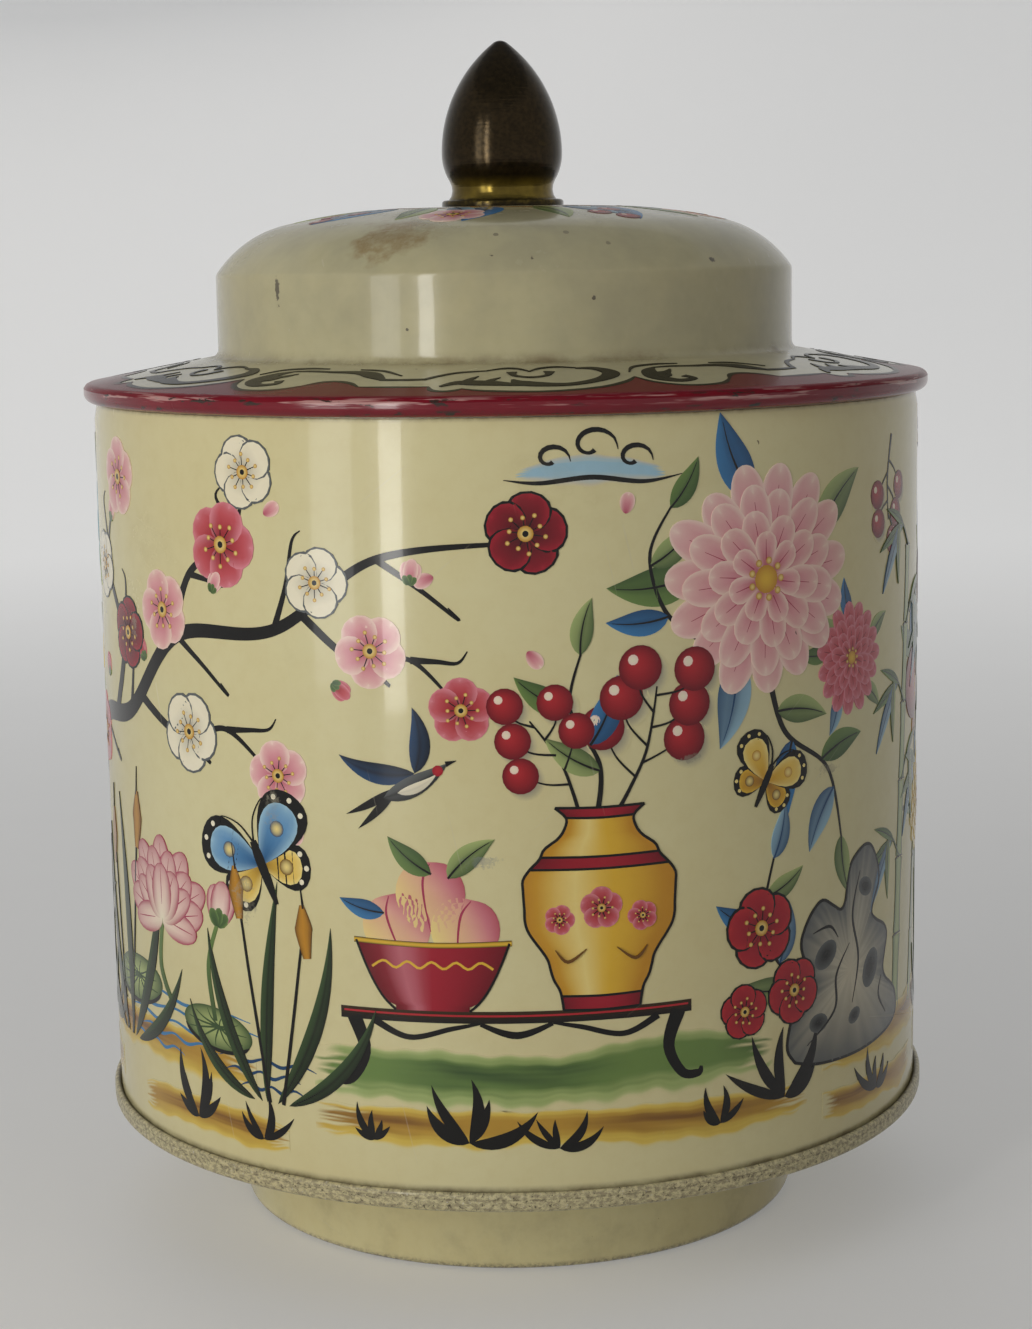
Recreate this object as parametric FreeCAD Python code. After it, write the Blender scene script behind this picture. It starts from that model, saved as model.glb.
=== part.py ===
import FreeCAD, Part
import math
import os

# A round tinplate tea caddy: seamed body, drawn base and lid, turned brass finial.
# Millimetres. The tin stands on z = 0 and its axis is the Z axis; the side seam faces +Y.

# Sheet metal
sheet = 0.25             # thickness of the tinplate
seam_gap = 0.05          # play between layers folded over each other

# Base pan
foot_radius = 38.9       # outside of the foot
foot_height = 14.85      # from the table to the underside of the bead
foot_bend = 1.2          # outside radius at the foot's lower edge
foot_ring_width = 4.4    # flat ring that the tin stands on, with its bends
panel_recess = 1.2       # the bottom panel is pressed up by this
panel_slope = 45.0       # degrees, step from ring to panel
pan_slope = 8.0          # degrees, underside from bead to foot
pan_cove = 1.1           # bend between underside and foot
bead_height = 2.4        # height of the seamed bead

# Body wall
wall_radius = 56.2       # outside of the printed wall
wall_height = 94.4       # from the top of the bead to the hemmed mouth
hem_depth = 4.0          # length of the hem folded down inside the mouth
hem_gap = 0.3            # space inside the hem's fold
lock_width = 5.0         # flat lock seam on the inside of the wall
lock_layers = 3          # sheets in the lock besides the wall
lock_groove_width = 0.6  # line that shows on the outside
lock_groove_depth = 0.1
lock_below_plug = 2.0    # the lock stops short of the plug ring

# Lid shell
rim_overhang = 1.3       # the curled rim stands out from the wall
rim_height = 2.35        # corner to corner at the nose
rim_top_bend = 1.0
rim_under_bend = 1.2
curl_play = 0.15         # curl's end to the flange that it grips
seat_gap = 0.1           # rim to the hemmed mouth, lid closed
shoulder_slope = 10.4    # degrees
cove_bend = 1.1          # shoulder to riser
riser_radius = 39.25     # outside of the riser
riser_height = 10.85     # corner to corner
crease_bend = 1.2        # riser to dome
dome_rise = 8.5          # crease corner to the crown
haunch_radius = 15.5     # dome's tighter arc above the crease
haunch_slope = 55.0      # degrees, dome at the crease
crown_pad_radius = 12.0  # flat pad under the finial

# Plug ring
plug_clearance = 0.15    # plug ring to the hem, all round
plug_depth = 9.0         # reach below the mouth
plug_lead = 1.2          # height of the tapered lower edge
plug_lead_angle = 15.0   # degrees

# Finial
rosette_lip = 0.1        # the disc stands out from the bud's belly by this
rosette_thickness = 1.0
rosette_round = 0.4
bud_radius = 8.2
bud_height = 21.2        # rosette to tip
bud_belly_height = 6.2   # level of the widest part
bud_neck_radius = 6.85
bud_neck_height = 1.4
bud_cove_radius = 2.2    # hollow of the neck
bud_tip_radius = 1.6
screw_radius = 2.0
screw_play = 0.15        # shank to the holes it passes through
screw_reach = 9.0        # depth into the bud
screw_bottom_gap = 1.0   # blind hole beyond the screw's end
head_radius = 3.6
head_height = 2.0
head_round = 0.9
slot_width = 0.9
slot_depth = 0.9
washer_radius = 6.0
washer_thickness = 0.8

# Levels and radii that follow
bead_bottom = foot_height
bead_top = bead_bottom + bead_height
mouth = bead_top + wall_height
rim_bottom = mouth + seat_gap
rim_radius = wall_radius + rim_overhang
shoulder_tan = math.tan(math.radians(shoulder_slope))
shoulder_edge = rim_bottom + rim_height
riser_foot = shoulder_edge + (rim_radius - riser_radius) * shoulder_tan
crease = riser_foot + riser_height
crown = crease + dome_rise
hem_inside = wall_radius - 2 * sheet - hem_gap
plug_radius = hem_inside - plug_clearance
plug_bottom = mouth - plug_depth
layer = sheet + seam_gap
hook_radius = wall_radius + seam_gap + layer
bead_radius = hook_radius + 2 * layer
bead_fold = (bead_radius - wall_radius - seam_gap) / 2
hook_bottom = bead_bottom + 2 * sheet + seam_gap
hole_radius = screw_radius + screw_play
rosette_radius = bud_radius + rosette_lip
rosette_top = crown + rosette_thickness
lid_inside = crown - sheet

axis = FreeCAD.Vector(0, 0, 1)
origin = FreeCAD.Vector(0, 0, 0)


def point(r, z):
    return FreeCAD.Vector(r, 0, z)


def heading(a, b):
    step = b.sub(a)
    step.normalize()
    return step


def right_of(direction):
    return FreeCAD.Vector(direction.z, 0, -direction.x)


def run(a, b):
    # A straight edge, or nothing where two bends meet
    if a.distanceToPoint(b) < 1e-6:
        return []
    return [Part.makeLine(a, b)]


def bent_edges(corners, radii):
    # A path through the corners, each inner one rounded by its radius, or sharp where that is 0
    edges = []
    start = corners[0]
    for before, corner, after, radius in zip(corners, corners[1:], corners[2:], radii):
        if radius == 0:
            edges += run(start, corner)
            start = corner
            continue
        come = heading(before, corner)
        leave = heading(corner, after)
        half_turn = come.getAngle(leave) / 2
        tangent = radius * math.tan(half_turn)
        arc_start = corner.sub(come * tangent)
        arc_end = corner.add(leave * tangent)
        inwards = leave.sub(come)
        inwards.normalize()
        arc_middle = corner.add(inwards * (radius / math.cos(half_turn) - radius))
        edges += run(start, arc_start)
        edges.append(Part.Arc(arc_start, arc_middle, arc_end).toShape())
        start = arc_end
    return edges + run(start, corners[-1])


def back_radius(radius, turns_left):
    # Radius on the other face of a bend; a fold tighter than the sheet closes to a corner
    if radius == 0:
        return 0
    if turns_left:
        return radius + sheet
    return radius - sheet if radius > 2 * sheet else 0


def sheet_section(corners, radii):
    # Section of a bent sheet: the corners give its skin, and the metal lies right of the path
    headings = [heading(a, b) for a, b in zip(corners, corners[1:])]
    back = [corners[0].add(right_of(headings[0]) * sheet)]
    back_radii = []
    for corner, come, leave, radius in zip(corners[1:], headings, headings[1:], radii):
        mitre = right_of(come).add(right_of(leave))
        back.append(corner.add(mitre * (sheet / (1 + come.dot(leave)))))
        turns_left = come.x * leave.z - come.z * leave.x > 0
        back_radii.append(back_radius(radius, turns_left))
    back.append(corners[-1].add(right_of(headings[-1]) * sheet))
    skin_edges = bent_edges(corners, radii)
    back_edges = bent_edges(back, back_radii)
    ends = run(corners[-1], back[-1]) + back_edges[::-1] + run(back[0], corners[0])
    return Part.Face(Part.Wire(skin_edges + ends))


def turned(face, degrees=360.0):
    return face.revolve(origin, axis, degrees)


def ring_block(inner, outer, low, high, width):
    # A short arc of a ring, as wide as given at its outside, centred on +Y
    degrees = math.degrees(width / outer)
    corners = [point(inner, low), point(outer, low), point(outer, high), point(inner, high)]
    block = turned(Part.Face(Part.makePolygon(corners + corners[:1])), degrees)
    block.rotate(origin, axis, 90 - degrees / 2)
    return block


def make_body_wall():
    hem_fold = (wall_radius - hem_inside) / 2
    hook_top = bead_top - bead_fold
    corners = [
        point(hem_inside, mouth - hem_depth),
        point(hem_inside, mouth),
        point(wall_radius, mouth),
        point(wall_radius, hook_bottom),
        point(hook_radius, hook_bottom),
        point(hook_radius, hook_top),
    ]
    wall = turned(sheet_section(corners, [hem_fold, hem_fold, 0, 0]))
    inside = wall_radius - sheet
    lock_top = plug_bottom - lock_below_plug
    lock = ring_block(inside - lock_layers * sheet, inside + sheet / 2, bead_top, lock_top, lock_width)
    groove_top = mouth - hem_depth
    groove = ring_block(
        wall_radius - lock_groove_depth, wall_radius + sheet, bead_top, groove_top, lock_groove_width
    )
    return wall.fuse(lock).cut(groove)


def make_base_pan():
    hook_end = hook_bottom + seam_gap
    pan_drop = (bead_radius - foot_radius) * math.tan(math.radians(pan_slope))
    ring_inside = foot_radius - foot_ring_width
    panel_edge = ring_inside - panel_recess / math.tan(math.radians(panel_slope))
    corners = [
        point(wall_radius + seam_gap, hook_end),
        point(wall_radius + seam_gap, bead_top),
        point(bead_radius, bead_top),
        point(bead_radius, bead_bottom),
        point(foot_radius, bead_bottom - pan_drop),
        point(foot_radius, 0),
        point(ring_inside, 0),
        point(panel_edge, panel_recess),
        point(0, panel_recess),
    ]
    bends = [bead_fold, bead_fold, 0, pan_cove, foot_bend, 0, 0]
    return turned(sheet_section(corners, bends))


def dome_corners():
    # The dome is a three-centred arch: a flat pad, a crown arc and a haunch arc, all tangent.
    # Returns its corners from the pad outwards to the crease, with the two arcs' radii.
    slope = math.radians(haunch_slope)
    crease_tangent = crease_bend * math.tan((math.pi / 2 - slope) / 2)
    haunch_end_r = riser_radius - crease_tangent * math.cos(slope)
    haunch_end_z = crease + crease_tangent * math.sin(slope)
    span = haunch_end_r - haunch_radius * math.sin(slope) - crown_pad_radius
    drop = crown - haunch_end_z + haunch_radius * math.cos(slope)
    crown_radius = (span ** 2 + drop ** 2 - haunch_radius ** 2) / (2 * (drop - haunch_radius))
    crown_turn = math.asin(span / (crown_radius - haunch_radius))
    crown_tangent = crown_radius * math.tan(crown_turn / 2)
    haunch_tangent = haunch_radius * math.tan((slope - crown_turn) / 2)
    crown_corner = point(crown_pad_radius + crown_tangent, crown)
    along = FreeCAD.Vector(math.cos(crown_turn), 0, -math.sin(crown_turn))
    haunch_corner = crown_corner.add(along * (crown_tangent + haunch_tangent))
    return [crown_corner, haunch_corner], [crown_radius, haunch_radius]


def flange_under(r):
    # Underside of the plug ring's flange, which lies against the shoulder from below
    skin = shoulder_edge + (rim_radius - r) * shoulder_tan
    return skin - (2 * sheet + seam_gap) / math.cos(math.radians(shoulder_slope))


def make_lid_shell():
    dome, dome_radii = dome_corners()
    curl_radius = plug_radius + seam_gap
    curl_end = flange_under(curl_radius + sheet) - curl_play
    corners = [point(hole_radius, crown)] + dome + [
        point(riser_radius, crease),
        point(riser_radius, riser_foot),
        point(rim_radius, shoulder_edge),
        point(rim_radius, rim_bottom),
        point(curl_radius, rim_bottom),
        point(curl_radius, curl_end),
    ]
    bends = dome_radii + [crease_bend, cove_bend, rim_top_bend, rim_under_bend, 0]
    return turned(sheet_section(corners, bends))


def make_lid_plug_ring():
    flange_end = rim_radius - rim_top_bend
    lead_in = plug_lead * math.tan(math.radians(plug_lead_angle))
    corners = [
        point(flange_end, flange_under(flange_end)),
        point(plug_radius, flange_under(plug_radius)),
        point(plug_radius, plug_bottom + plug_lead),
        point(plug_radius - lead_in, plug_bottom),
    ]
    return turned(sheet_section(corners, [0, 0]))


def make_finial_rosette():
    rosette = Part.makeCylinder(rosette_radius, rosette_thickness, point(0, crown))
    middle = crown + rosette_thickness / 2
    upper_edge = [edge for edge in rosette.Edges if edge.Closed and edge.CenterOfMass.z > middle]
    rosette = rosette.makeFillet(rosette_round, upper_edge)
    return rosette.cut(Part.makeCylinder(hole_radius, rosette_thickness, point(0, crown)))


def make_finial_bud():
    # Arcs from the rosette up: hollow neck, belly, ogive and tip, each tangent to the next
    pinch = bud_radius - bud_neck_radius
    rise = bud_belly_height - bud_neck_height
    belly_radius = (pinch ** 2 + rise ** 2) / (2 * pinch) - bud_cove_radius
    reach = bud_height - bud_belly_height - bud_tip_radius
    taper = bud_radius - bud_tip_radius
    ogive_radius = (reach ** 2 + bud_radius ** 2 - bud_tip_radius ** 2) / (2 * taper)
    neck = point(bud_neck_radius, bud_neck_height)
    cove_centre = neck.add(point(bud_cove_radius, 0))
    belly = point(bud_radius, bud_belly_height)
    belly_centre = belly.sub(point(belly_radius, 0))
    ogive_centre = belly.sub(point(ogive_radius, 0))
    tip_centre = point(0, bud_height - bud_tip_radius)
    tip = point(0, bud_height)
    flare = math.sqrt(bud_cove_radius ** 2 - bud_neck_height ** 2)
    foot = point(cove_centre.x - flare, 0)
    cove_end = cove_centre.add(heading(cove_centre, belly_centre) * bud_cove_radius)
    ogive_end = ogive_centre.add(heading(ogive_centre, tip_centre) * ogive_radius)

    def arc(centre, radius, start, end):
        middle = heading(centre, (start + end) * 0.5) * radius
        return Part.Arc(start, centre.add(middle), end).toShape()

    outline = [
        Part.makeLine(origin, foot),
        arc(cove_centre, bud_cove_radius, foot, cove_end),
        arc(belly_centre, belly_radius, cove_end, belly),
        arc(ogive_centre, ogive_radius, belly, ogive_end),
        arc(tip_centre, bud_tip_radius, ogive_end, tip),
        Part.makeLine(tip, origin),
    ]
    bud = turned(Part.Face(Part.Wire(outline)))
    bore = Part.makeCylinder(hole_radius, screw_reach + screw_bottom_gap)
    bud = bud.cut(bore)
    bud.translate(point(0, rosette_top))
    return bud


def make_finial_washer():
    seat = point(0, lid_inside - washer_thickness)
    washer = Part.makeCylinder(washer_radius, washer_thickness, seat)
    return washer.cut(Part.makeCylinder(hole_radius, washer_thickness, seat))


def make_finial_screw():
    head_top = lid_inside - washer_thickness
    head_bottom = head_top - head_height
    head = Part.makeCylinder(head_radius, head_height, point(0, head_bottom))
    middle = head_top - head_height / 2
    lower_edge = [edge for edge in head.Edges if edge.Closed and edge.CenterOfMass.z < middle]
    head = head.makeFillet(head_round, lower_edge)
    corner = FreeCAD.Vector(-head_radius, -slot_width / 2, head_bottom)
    head = head.cut(Part.makeBox(2 * head_radius, slot_width, slot_depth, corner))
    shank_length = rosette_top + screw_reach - head_top
    return head.fuse(Part.makeCylinder(screw_radius, shank_length, point(0, head_top)))


makers = {
    "body_wall": make_body_wall,
    "base_pan": make_base_pan,
    "lid_shell": make_lid_shell,
    "lid_plug_ring": make_lid_plug_ring,
    "finial_rosette": make_finial_rosette,
    "finial_bud": make_finial_bud,
    "finial_washer": make_finial_washer,
    "finial_screw": make_finial_screw,
}

os.makedirs("parts", exist_ok=True)
for name, make in makers.items():
    solid = make().removeSplitter()
    solid.exportStep(os.path.join("parts", name + ".step"))
    print(name, solid.ShapeType, len(solid.Solids), solid.isValid(), round(solid.Volume, 1))
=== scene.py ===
import bpy
from bisect import bisect
from math import acos, atan2, cos, hypot, pi, radians, sin, sqrt
from mathutils import Matrix, Vector


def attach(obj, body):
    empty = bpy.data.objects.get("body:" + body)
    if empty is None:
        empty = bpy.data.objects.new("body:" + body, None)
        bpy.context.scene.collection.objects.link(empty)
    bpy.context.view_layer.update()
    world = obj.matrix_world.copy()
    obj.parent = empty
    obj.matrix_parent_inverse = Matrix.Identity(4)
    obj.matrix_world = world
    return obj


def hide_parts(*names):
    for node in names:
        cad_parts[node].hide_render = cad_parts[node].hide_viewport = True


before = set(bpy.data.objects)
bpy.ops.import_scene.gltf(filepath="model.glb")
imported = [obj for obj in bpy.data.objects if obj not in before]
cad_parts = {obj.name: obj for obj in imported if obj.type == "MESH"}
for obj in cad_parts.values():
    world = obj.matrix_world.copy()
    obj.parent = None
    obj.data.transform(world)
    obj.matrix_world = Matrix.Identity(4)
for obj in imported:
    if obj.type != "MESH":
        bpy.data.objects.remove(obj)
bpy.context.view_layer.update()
mm = 0.001
print("frame loaded:", sorted(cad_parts))


# camera, standing where the picture was taken from
cameraSpot = {"lens": 70.1, "place": (0.0, -0.3587, 0.1304), "yaw": -0.122, "pitch": 9.0, "roll": 0.955}


def setCamera(spot):
    bpy.ops.object.camera_add()
    cam = bpy.context.object
    cam.name = "camera"
    cam.data.lens = spot["lens"]
    cam.data.sensor_width = 36
    cam.data.clip_start = 0.01
    aim = Matrix.Rotation(radians(spot["yaw"]), 4, "Z") @ Matrix.Rotation(-radians(spot["pitch"]), 4, "X")
    aim = aim @ Matrix.Rotation(radians(spot["roll"]), 4, "Y") @ Matrix.Rotation(radians(90), 4, "X")
    cam.matrix_world = Matrix.Translation(spot["place"]) @ aim
    bpy.context.scene.camera = cam


setCamera(cameraSpot)
bpy.context.scene.view_settings.view_transform = "Standard"
print("camera set")


# node helpers, which all wire the tree on the bench
bench = {"tree": None}


def addNode(kind, **values):
    node = bench["tree"].nodes.new(kind)
    for name, value in values.items():
        setattr(node, name, value)
    return node


def feed(socket, value):
    if isinstance(value, bpy.types.NodeSocket):
        bench["tree"].links.new(value, socket)
    elif socket.type == "RGBA":
        socket.default_value = (*(tone(value) if isinstance(value, str) else value), 1.0)
    else:
        socket.default_value = value


def calc(operation, a, b=None, clamp=False):
    node = addNode("ShaderNodeMath", operation=operation, use_clamp=clamp)
    for socket, value in zip(node.inputs, (a, b)):
        if value is not None:
            feed(socket, value)
    return node.outputs[0]


def times(a, b):
    return calc("MULTIPLY", a, b)


def plus(a, b):
    return calc("ADD", a, b)


def minus(a, b, clamp=False):
    return calc("SUBTRACT", a, b, clamp)


def most(a, b, clamp=False):
    return calc("MAXIMUM", a, b, clamp)


def mixTone(amount, a, b, blend="MIX"):
    node = addNode("ShaderNodeMix", data_type="RGBA", blend_type=blend)
    feed(node.inputs["Factor"], amount)
    feed(node.inputs[6], a)
    feed(node.inputs[7], b)
    return node.outputs[2]


def noiseOf(vector, scale, detail=3.0, rough=0.55):
    node = addNode("ShaderNodeTexNoise")
    feed(node.inputs["Vector"], vector)
    for name, value in (("Scale", scale), ("Detail", detail), ("Roughness", rough)):
        node.inputs[name].default_value = value
    return node.outputs["Fac"]


def cellsOf(vector, scale):
    node = addNode("ShaderNodeTexVoronoi")
    feed(node.inputs["Vector"], vector)
    node.inputs["Scale"].default_value = scale
    return node.outputs


def spread(value, low, high, outLow=0.0, outHigh=1.0, smooth=True):
    node = addNode("ShaderNodeMapRange", interpolation_type="SMOOTHSTEP" if smooth else "LINEAR")
    feed(node.inputs[0], value)
    for socket, number in zip(node.inputs[1:5], (low, high, outLow, outHigh)):
        feed(socket, number)
    return node.outputs[0]


def turned(vector, turn=(0, 0, 0), scale=(1, 1, 1), shift=(0, 0, 0)):
    node = addNode("ShaderNodeMapping")
    feed(node.inputs["Vector"], vector)
    node.inputs["Location"].default_value = shift
    node.inputs["Rotation"].default_value = tuple(radians(t) for t in turn)
    node.inputs["Scale"].default_value = scale
    return node.outputs[0]


def parted(value, kind="Color"):
    node = addNode("ShaderNodeSeparate" + kind)
    feed(node.inputs[0], value)
    return node.outputs


def joined(*values):
    node = addNode("ShaderNodeCombineXYZ")
    for socket, value in zip(node.inputs, values):
        feed(socket, value)
    return node.outputs[0]


def reliefOn(shader, height, strength, depth):
    bump = addNode("ShaderNodeBump")
    bump.inputs["Strength"].default_value = strength
    bump.inputs["Distance"].default_value = depth
    feed(bump.inputs["Height"], height)
    feed(shader.inputs["Normal"], bump.outputs[0])


def objectPoint():
    return addNode("ShaderNodeTexCoord").outputs["Object"]


def radiusAndHeight(point):
    x, y, z = parted(point, "XYZ")
    span = calc("SQRT", plus(times(x, x), times(y, y)))
    return span, z, calc("ARCTAN2", x, times(y, -1.0))


def band(value, middle, half, soft):
    off = calc("ABSOLUTE", minus(value, middle * mm))
    return spread(off, (half + soft) * mm, (half - soft) * mm)


def newMaterial(name):
    material = bpy.data.materials.new(name)
    material.use_nodes = True
    bench["tree"] = material.node_tree
    return material, material.node_tree.nodes["Principled BSDF"]


def newGroup(name, outs, ins):
    tree = bench["tree"] = bpy.data.node_groups.new(name, "ShaderNodeTree")
    for label, kind, value in ins:
        socket = tree.interface.new_socket(name=label, in_out="INPUT", socket_type=kind)
        socket.default_value = value
    for label, kind in outs:
        tree.interface.new_socket(name=label, in_out="OUTPUT", socket_type=kind)
    return tree, tree.nodes.new("NodeGroupInput"), tree.nodes.new("NodeGroupOutput")


def placeGroup(group, **values):
    node = addNode("ShaderNodeGroup", node_tree=group)
    for name, value in values.items():
        feed(node.inputs[name], value)
    return node.outputs


def share(value):
    return min(1.0, max(0.0, value))


def eased(value):
    t = share(value)
    return t * t * (3 - 2 * t)


def tone(code):
    parts = [int(code[i:i + 2], 16) / 255 for i in (0, 2, 4)]
    return tuple(p / 12.92 if p <= 0.04045 else ((p + 0.055) / 1.055) ** 2.4 for p in parts)


def inkTone(ink):
    return tones[ink] if isinstance(ink, str) else ink


def blendTone(a, b, t):
    t = share(t)
    return tuple(x + (y - x) * t for x, y in zip(inkTone(a), inkTone(b)))


inkCodes = {
    "cream": "d9d2a8", "black": "0d0b09", "white": "f0ead6", "darkRed": "6b101e", "red": "a01d30",
    "scarlet": "b92a33", "rose": "a83458", "pink": "d98a9c", "blush": "f3d9d2", "navy": "1f4470",
    "blue": "3f7fba", "sky": "9cc2dc", "moss": "3b5432", "leaf": "6d8a4c", "lime": "a9ba7c",
    "umber": "6e4a1c", "ochre": "c08a2c", "gold": "e2b93f", "straw": "efdc92", "slate": "5f6468",
    "grey": "97948c", "pearl": "cdc8b8", "rim": "701522", "loam": "80592a", "amber": "b8913a",
    "flax": "dcc25c"}
tones = {name: tone(code) for name, code in inkCodes.items()}


# shared wear: yellowing, specks, hairline scratches and smudges, read at a point in metres
def makeAgeGroup():
    outs = (("Tint", "NodeSocketColor"), ("Specks", "NodeSocketFloat"), ("Scratches", "NodeSocketFloat"),
            ("Smudge", "NodeSocketFloat"), ("Gloss", "NodeSocketFloat"), ("Relief", "NodeSocketFloat"))
    tree, source, sink = newGroup("age", outs, (("Point", "NodeSocketVector", (0, 0, 0)),))
    point = source.outputs["Point"]
    slow = noiseOf(point, 24.0, 3.0)
    fine = noiseOf(point, 420.0, 4.0, 0.6)
    warm = mixTone(spread(slow, 0.3, 0.72), "fffdf6", "faf4e6")
    feed(sink.inputs["Tint"], mixTone(spread(fine, 0.35, 0.8, 0.0, 0.16), warm, "e9dfc8", "MULTIPLY"))
    speckCells = cellsOf(point, 210.0)
    luck = parted(speckCells["Color"])
    size = spread(luck[1], 0.0, 1.0, 0.025, 0.085, smooth=False)
    ragged = plus(speckCells["Distance"], times(minus(fine, 0.5), 0.12))
    dot = calc("LESS_THAN", ragged, size)
    patchy = spread(noiseOf(turned(point, shift=(0.3, 0.1, 0.7)), 38.0, 2.0), 0.44, 0.62)
    keep = calc("GREATER_THAN", times(luck[0], patchy), 0.5)
    feed(sink.inputs["Specks"], times(dot, keep))
    lines = None
    for turn, shift in ((14, 0.2), (-38, 0.9), (77, 0.5)):
        lie = turned(turned(point, turn=(0, 0, turn), shift=(shift, 0, 0)), scale=(26, 1500, 400))
        streak = spread(noiseOf(lie, 1.0, 1.0), 0.735, 0.775)
        gate = spread(noiseOf(turned(point, shift=(0, shift, 0)), 55.0, 2.0), 0.5, 0.64)
        streak = times(streak, gate)
        lines = streak if lines is None else most(lines, streak)
    feed(sink.inputs["Scratches"], lines)
    cloudy = noiseOf(turned(point, shift=(0.8, 0.4, 0.2)), 48.0, 4.0, 0.55)
    smudge = times(spread(cloudy, 0.55, 0.78), spread(fine, 0.25, 0.7))
    feed(sink.inputs["Smudge"], smudge)
    gloss = plus(spread(slow, 0.2, 0.8, 0.15, 0.22), times(smudge, 0.2))
    feed(sink.inputs["Gloss"], plus(gloss, times(lines, 0.2)))
    peel = times(noiseOf(point, 760.0, 2.0), 0.5)
    feed(sink.inputs["Relief"], minus(peel, times(lines, 0.6)))
    return tree


ageGroup = makeAgeGroup()
lacquerLook = {"shine": 0.22, "coat": 0.3, "coatRough": 0.045, "peel": 0.03, "depth": 0.4, "speck": 0.75,
               "scratch": 0.2, "smudge": 0.09}


def unrolled(point, radius):
    span, height, angle = radiusAndHeight(point)
    return joined(times(angle, radius * mm), height)


def inkColour():
    return addNode("ShaderNodeAttribute", attribute_name="ink").outputs["Color"]


def lacquer(name, ground, unrollAt, extra, look=lacquerLook):
    material, shader = newMaterial(name)
    point = objectPoint()
    where = unrolled(point, unrollAt) if unrollAt else point
    age = placeGroup(ageGroup, Point=where)
    colour = mixTone(1.0, ground or inkColour(), age["Tint"], "MULTIPLY")
    colour = mixTone(times(age["Smudge"], look["smudge"]), colour, "8d8672")
    colour = mixTone(times(age["Scratches"], look["scratch"]), colour, "b8b09a")
    colour = mixTone(times(age["Specks"], look["speck"]), colour, "4a3a26")
    rough, relief = age["Gloss"], age["Relief"]
    colour, rough, metal, relief = extra(point, where, colour, rough, relief)
    shader.inputs["Specular IOR Level"].default_value = look["shine"]
    shader.inputs["Coat Weight"].default_value = look["coat"]
    if metal is not None:
        feed(shader.inputs["Metallic"], metal)
        clear = minus(1.0, metal, clamp=True)
        feed(shader.inputs["Coat Weight"], times(clear, look["coat"]))
    shader.inputs["Coat Roughness"].default_value = look["coatRough"]
    feed(shader.inputs["Base Color"], colour)
    feed(shader.inputs["Roughness"], rough)
    reliefOn(shader, relief, look["peel"], look["depth"] * mm)
    return material


def vectorStep(operation, vector, value=None):
    node = addNode("ShaderNodeVectorMath", operation=operation)
    feed(node.inputs[0], vector)
    if value:
        node.inputs[1].default_value = tuple(c * mm for c in value)
    return node.outputs


def mark(point, spot, half):
    away = vectorStep("SUBTRACT", point, spot)[0]
    size = vectorStep("LENGTH", vectorStep("DIVIDE", away, half)[0])["Value"]
    ragged = plus(size, times(noiseOf(point, 1300.0, 4.0, 0.75), 3.0))
    return spread(ragged, 2.2, 1.95)


wallRubs = (((-4, 58.5), (3.2, 1.1), "7f8288"), ((-31, 64), (1.6, 3.4), "9a9480"),
            ((-36, 52), (2.4, 4.2), "9a9480"), ((22, 70), (2.2, 0.7), "8a8676"),
            ((-58, 84), (1.2, 2.6), "968f7b"), ((44, 66), (2.8, 1.0), "8f8a79"),
            ((92, 72), (2.2, 3.0), "968f7b"), ((-120, 78), (3.0, 1.2), "8a8676"),
            ((150, 60), (1.4, 3.4), "968f7b"))


def wallWearAndShade(point, where, colour, rough, relief):
    span, height, angle = radiusAndHeight(point)
    fleck = noiseOf(where, 620.0, 4.0, 0.65)
    low = spread(height, 18.1 * mm, 17.15 * mm)  # painted shade in the crease above the bead, with grime
    shadeAndGrime = times(low, spread(noiseOf(where, 150.0, 5.0, 0.7), 0.3, 0.7, 0.25, 1.0))
    colour = mixTone(times(shadeAndGrime, 0.8), colour, "5a4b36")
    under = spread(height, 111.0 * mm, 111.7 * mm)  # painted shade under the rim's overhang, with grime
    shadeAndGrime = times(under, spread(fleck, 0.3, 0.7, 0.2, 0.6))
    colour = mixTone(shadeAndGrime, colour, "6d6048")
    for spot, half, rubTone in wallRubs:
        rub = times(mark(where, (*spot, 0), (*half, 1)), spread(fleck, 0.35, 0.7, 0.08, 0.6))
        colour = mixTone(rub, colour, rubTone)
    return colour, rough, None, relief


lidStain = {"spot": (-14.2, -31.2, 133.0), "reach": 5.8}
lidMarks = (((-28.8, -26.7, 126.2), (0.45, 0.8, 2.3)), ((-1.4, -38.4, 130.4), (0.7, 1.2, 0.35)),
            ((3.4, -38.3, 130.0), (0.4, 1.2, 0.6)), ((26.4, -28.2, 129.4), (0.8, 0.8, 0.4)),
            ((11.0, -37.6, 125.0), (0.3, 0.8, 0.35)), ((-12.0, -37.2, 121.5), (0.35, 0.8, 0.3)))


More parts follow.
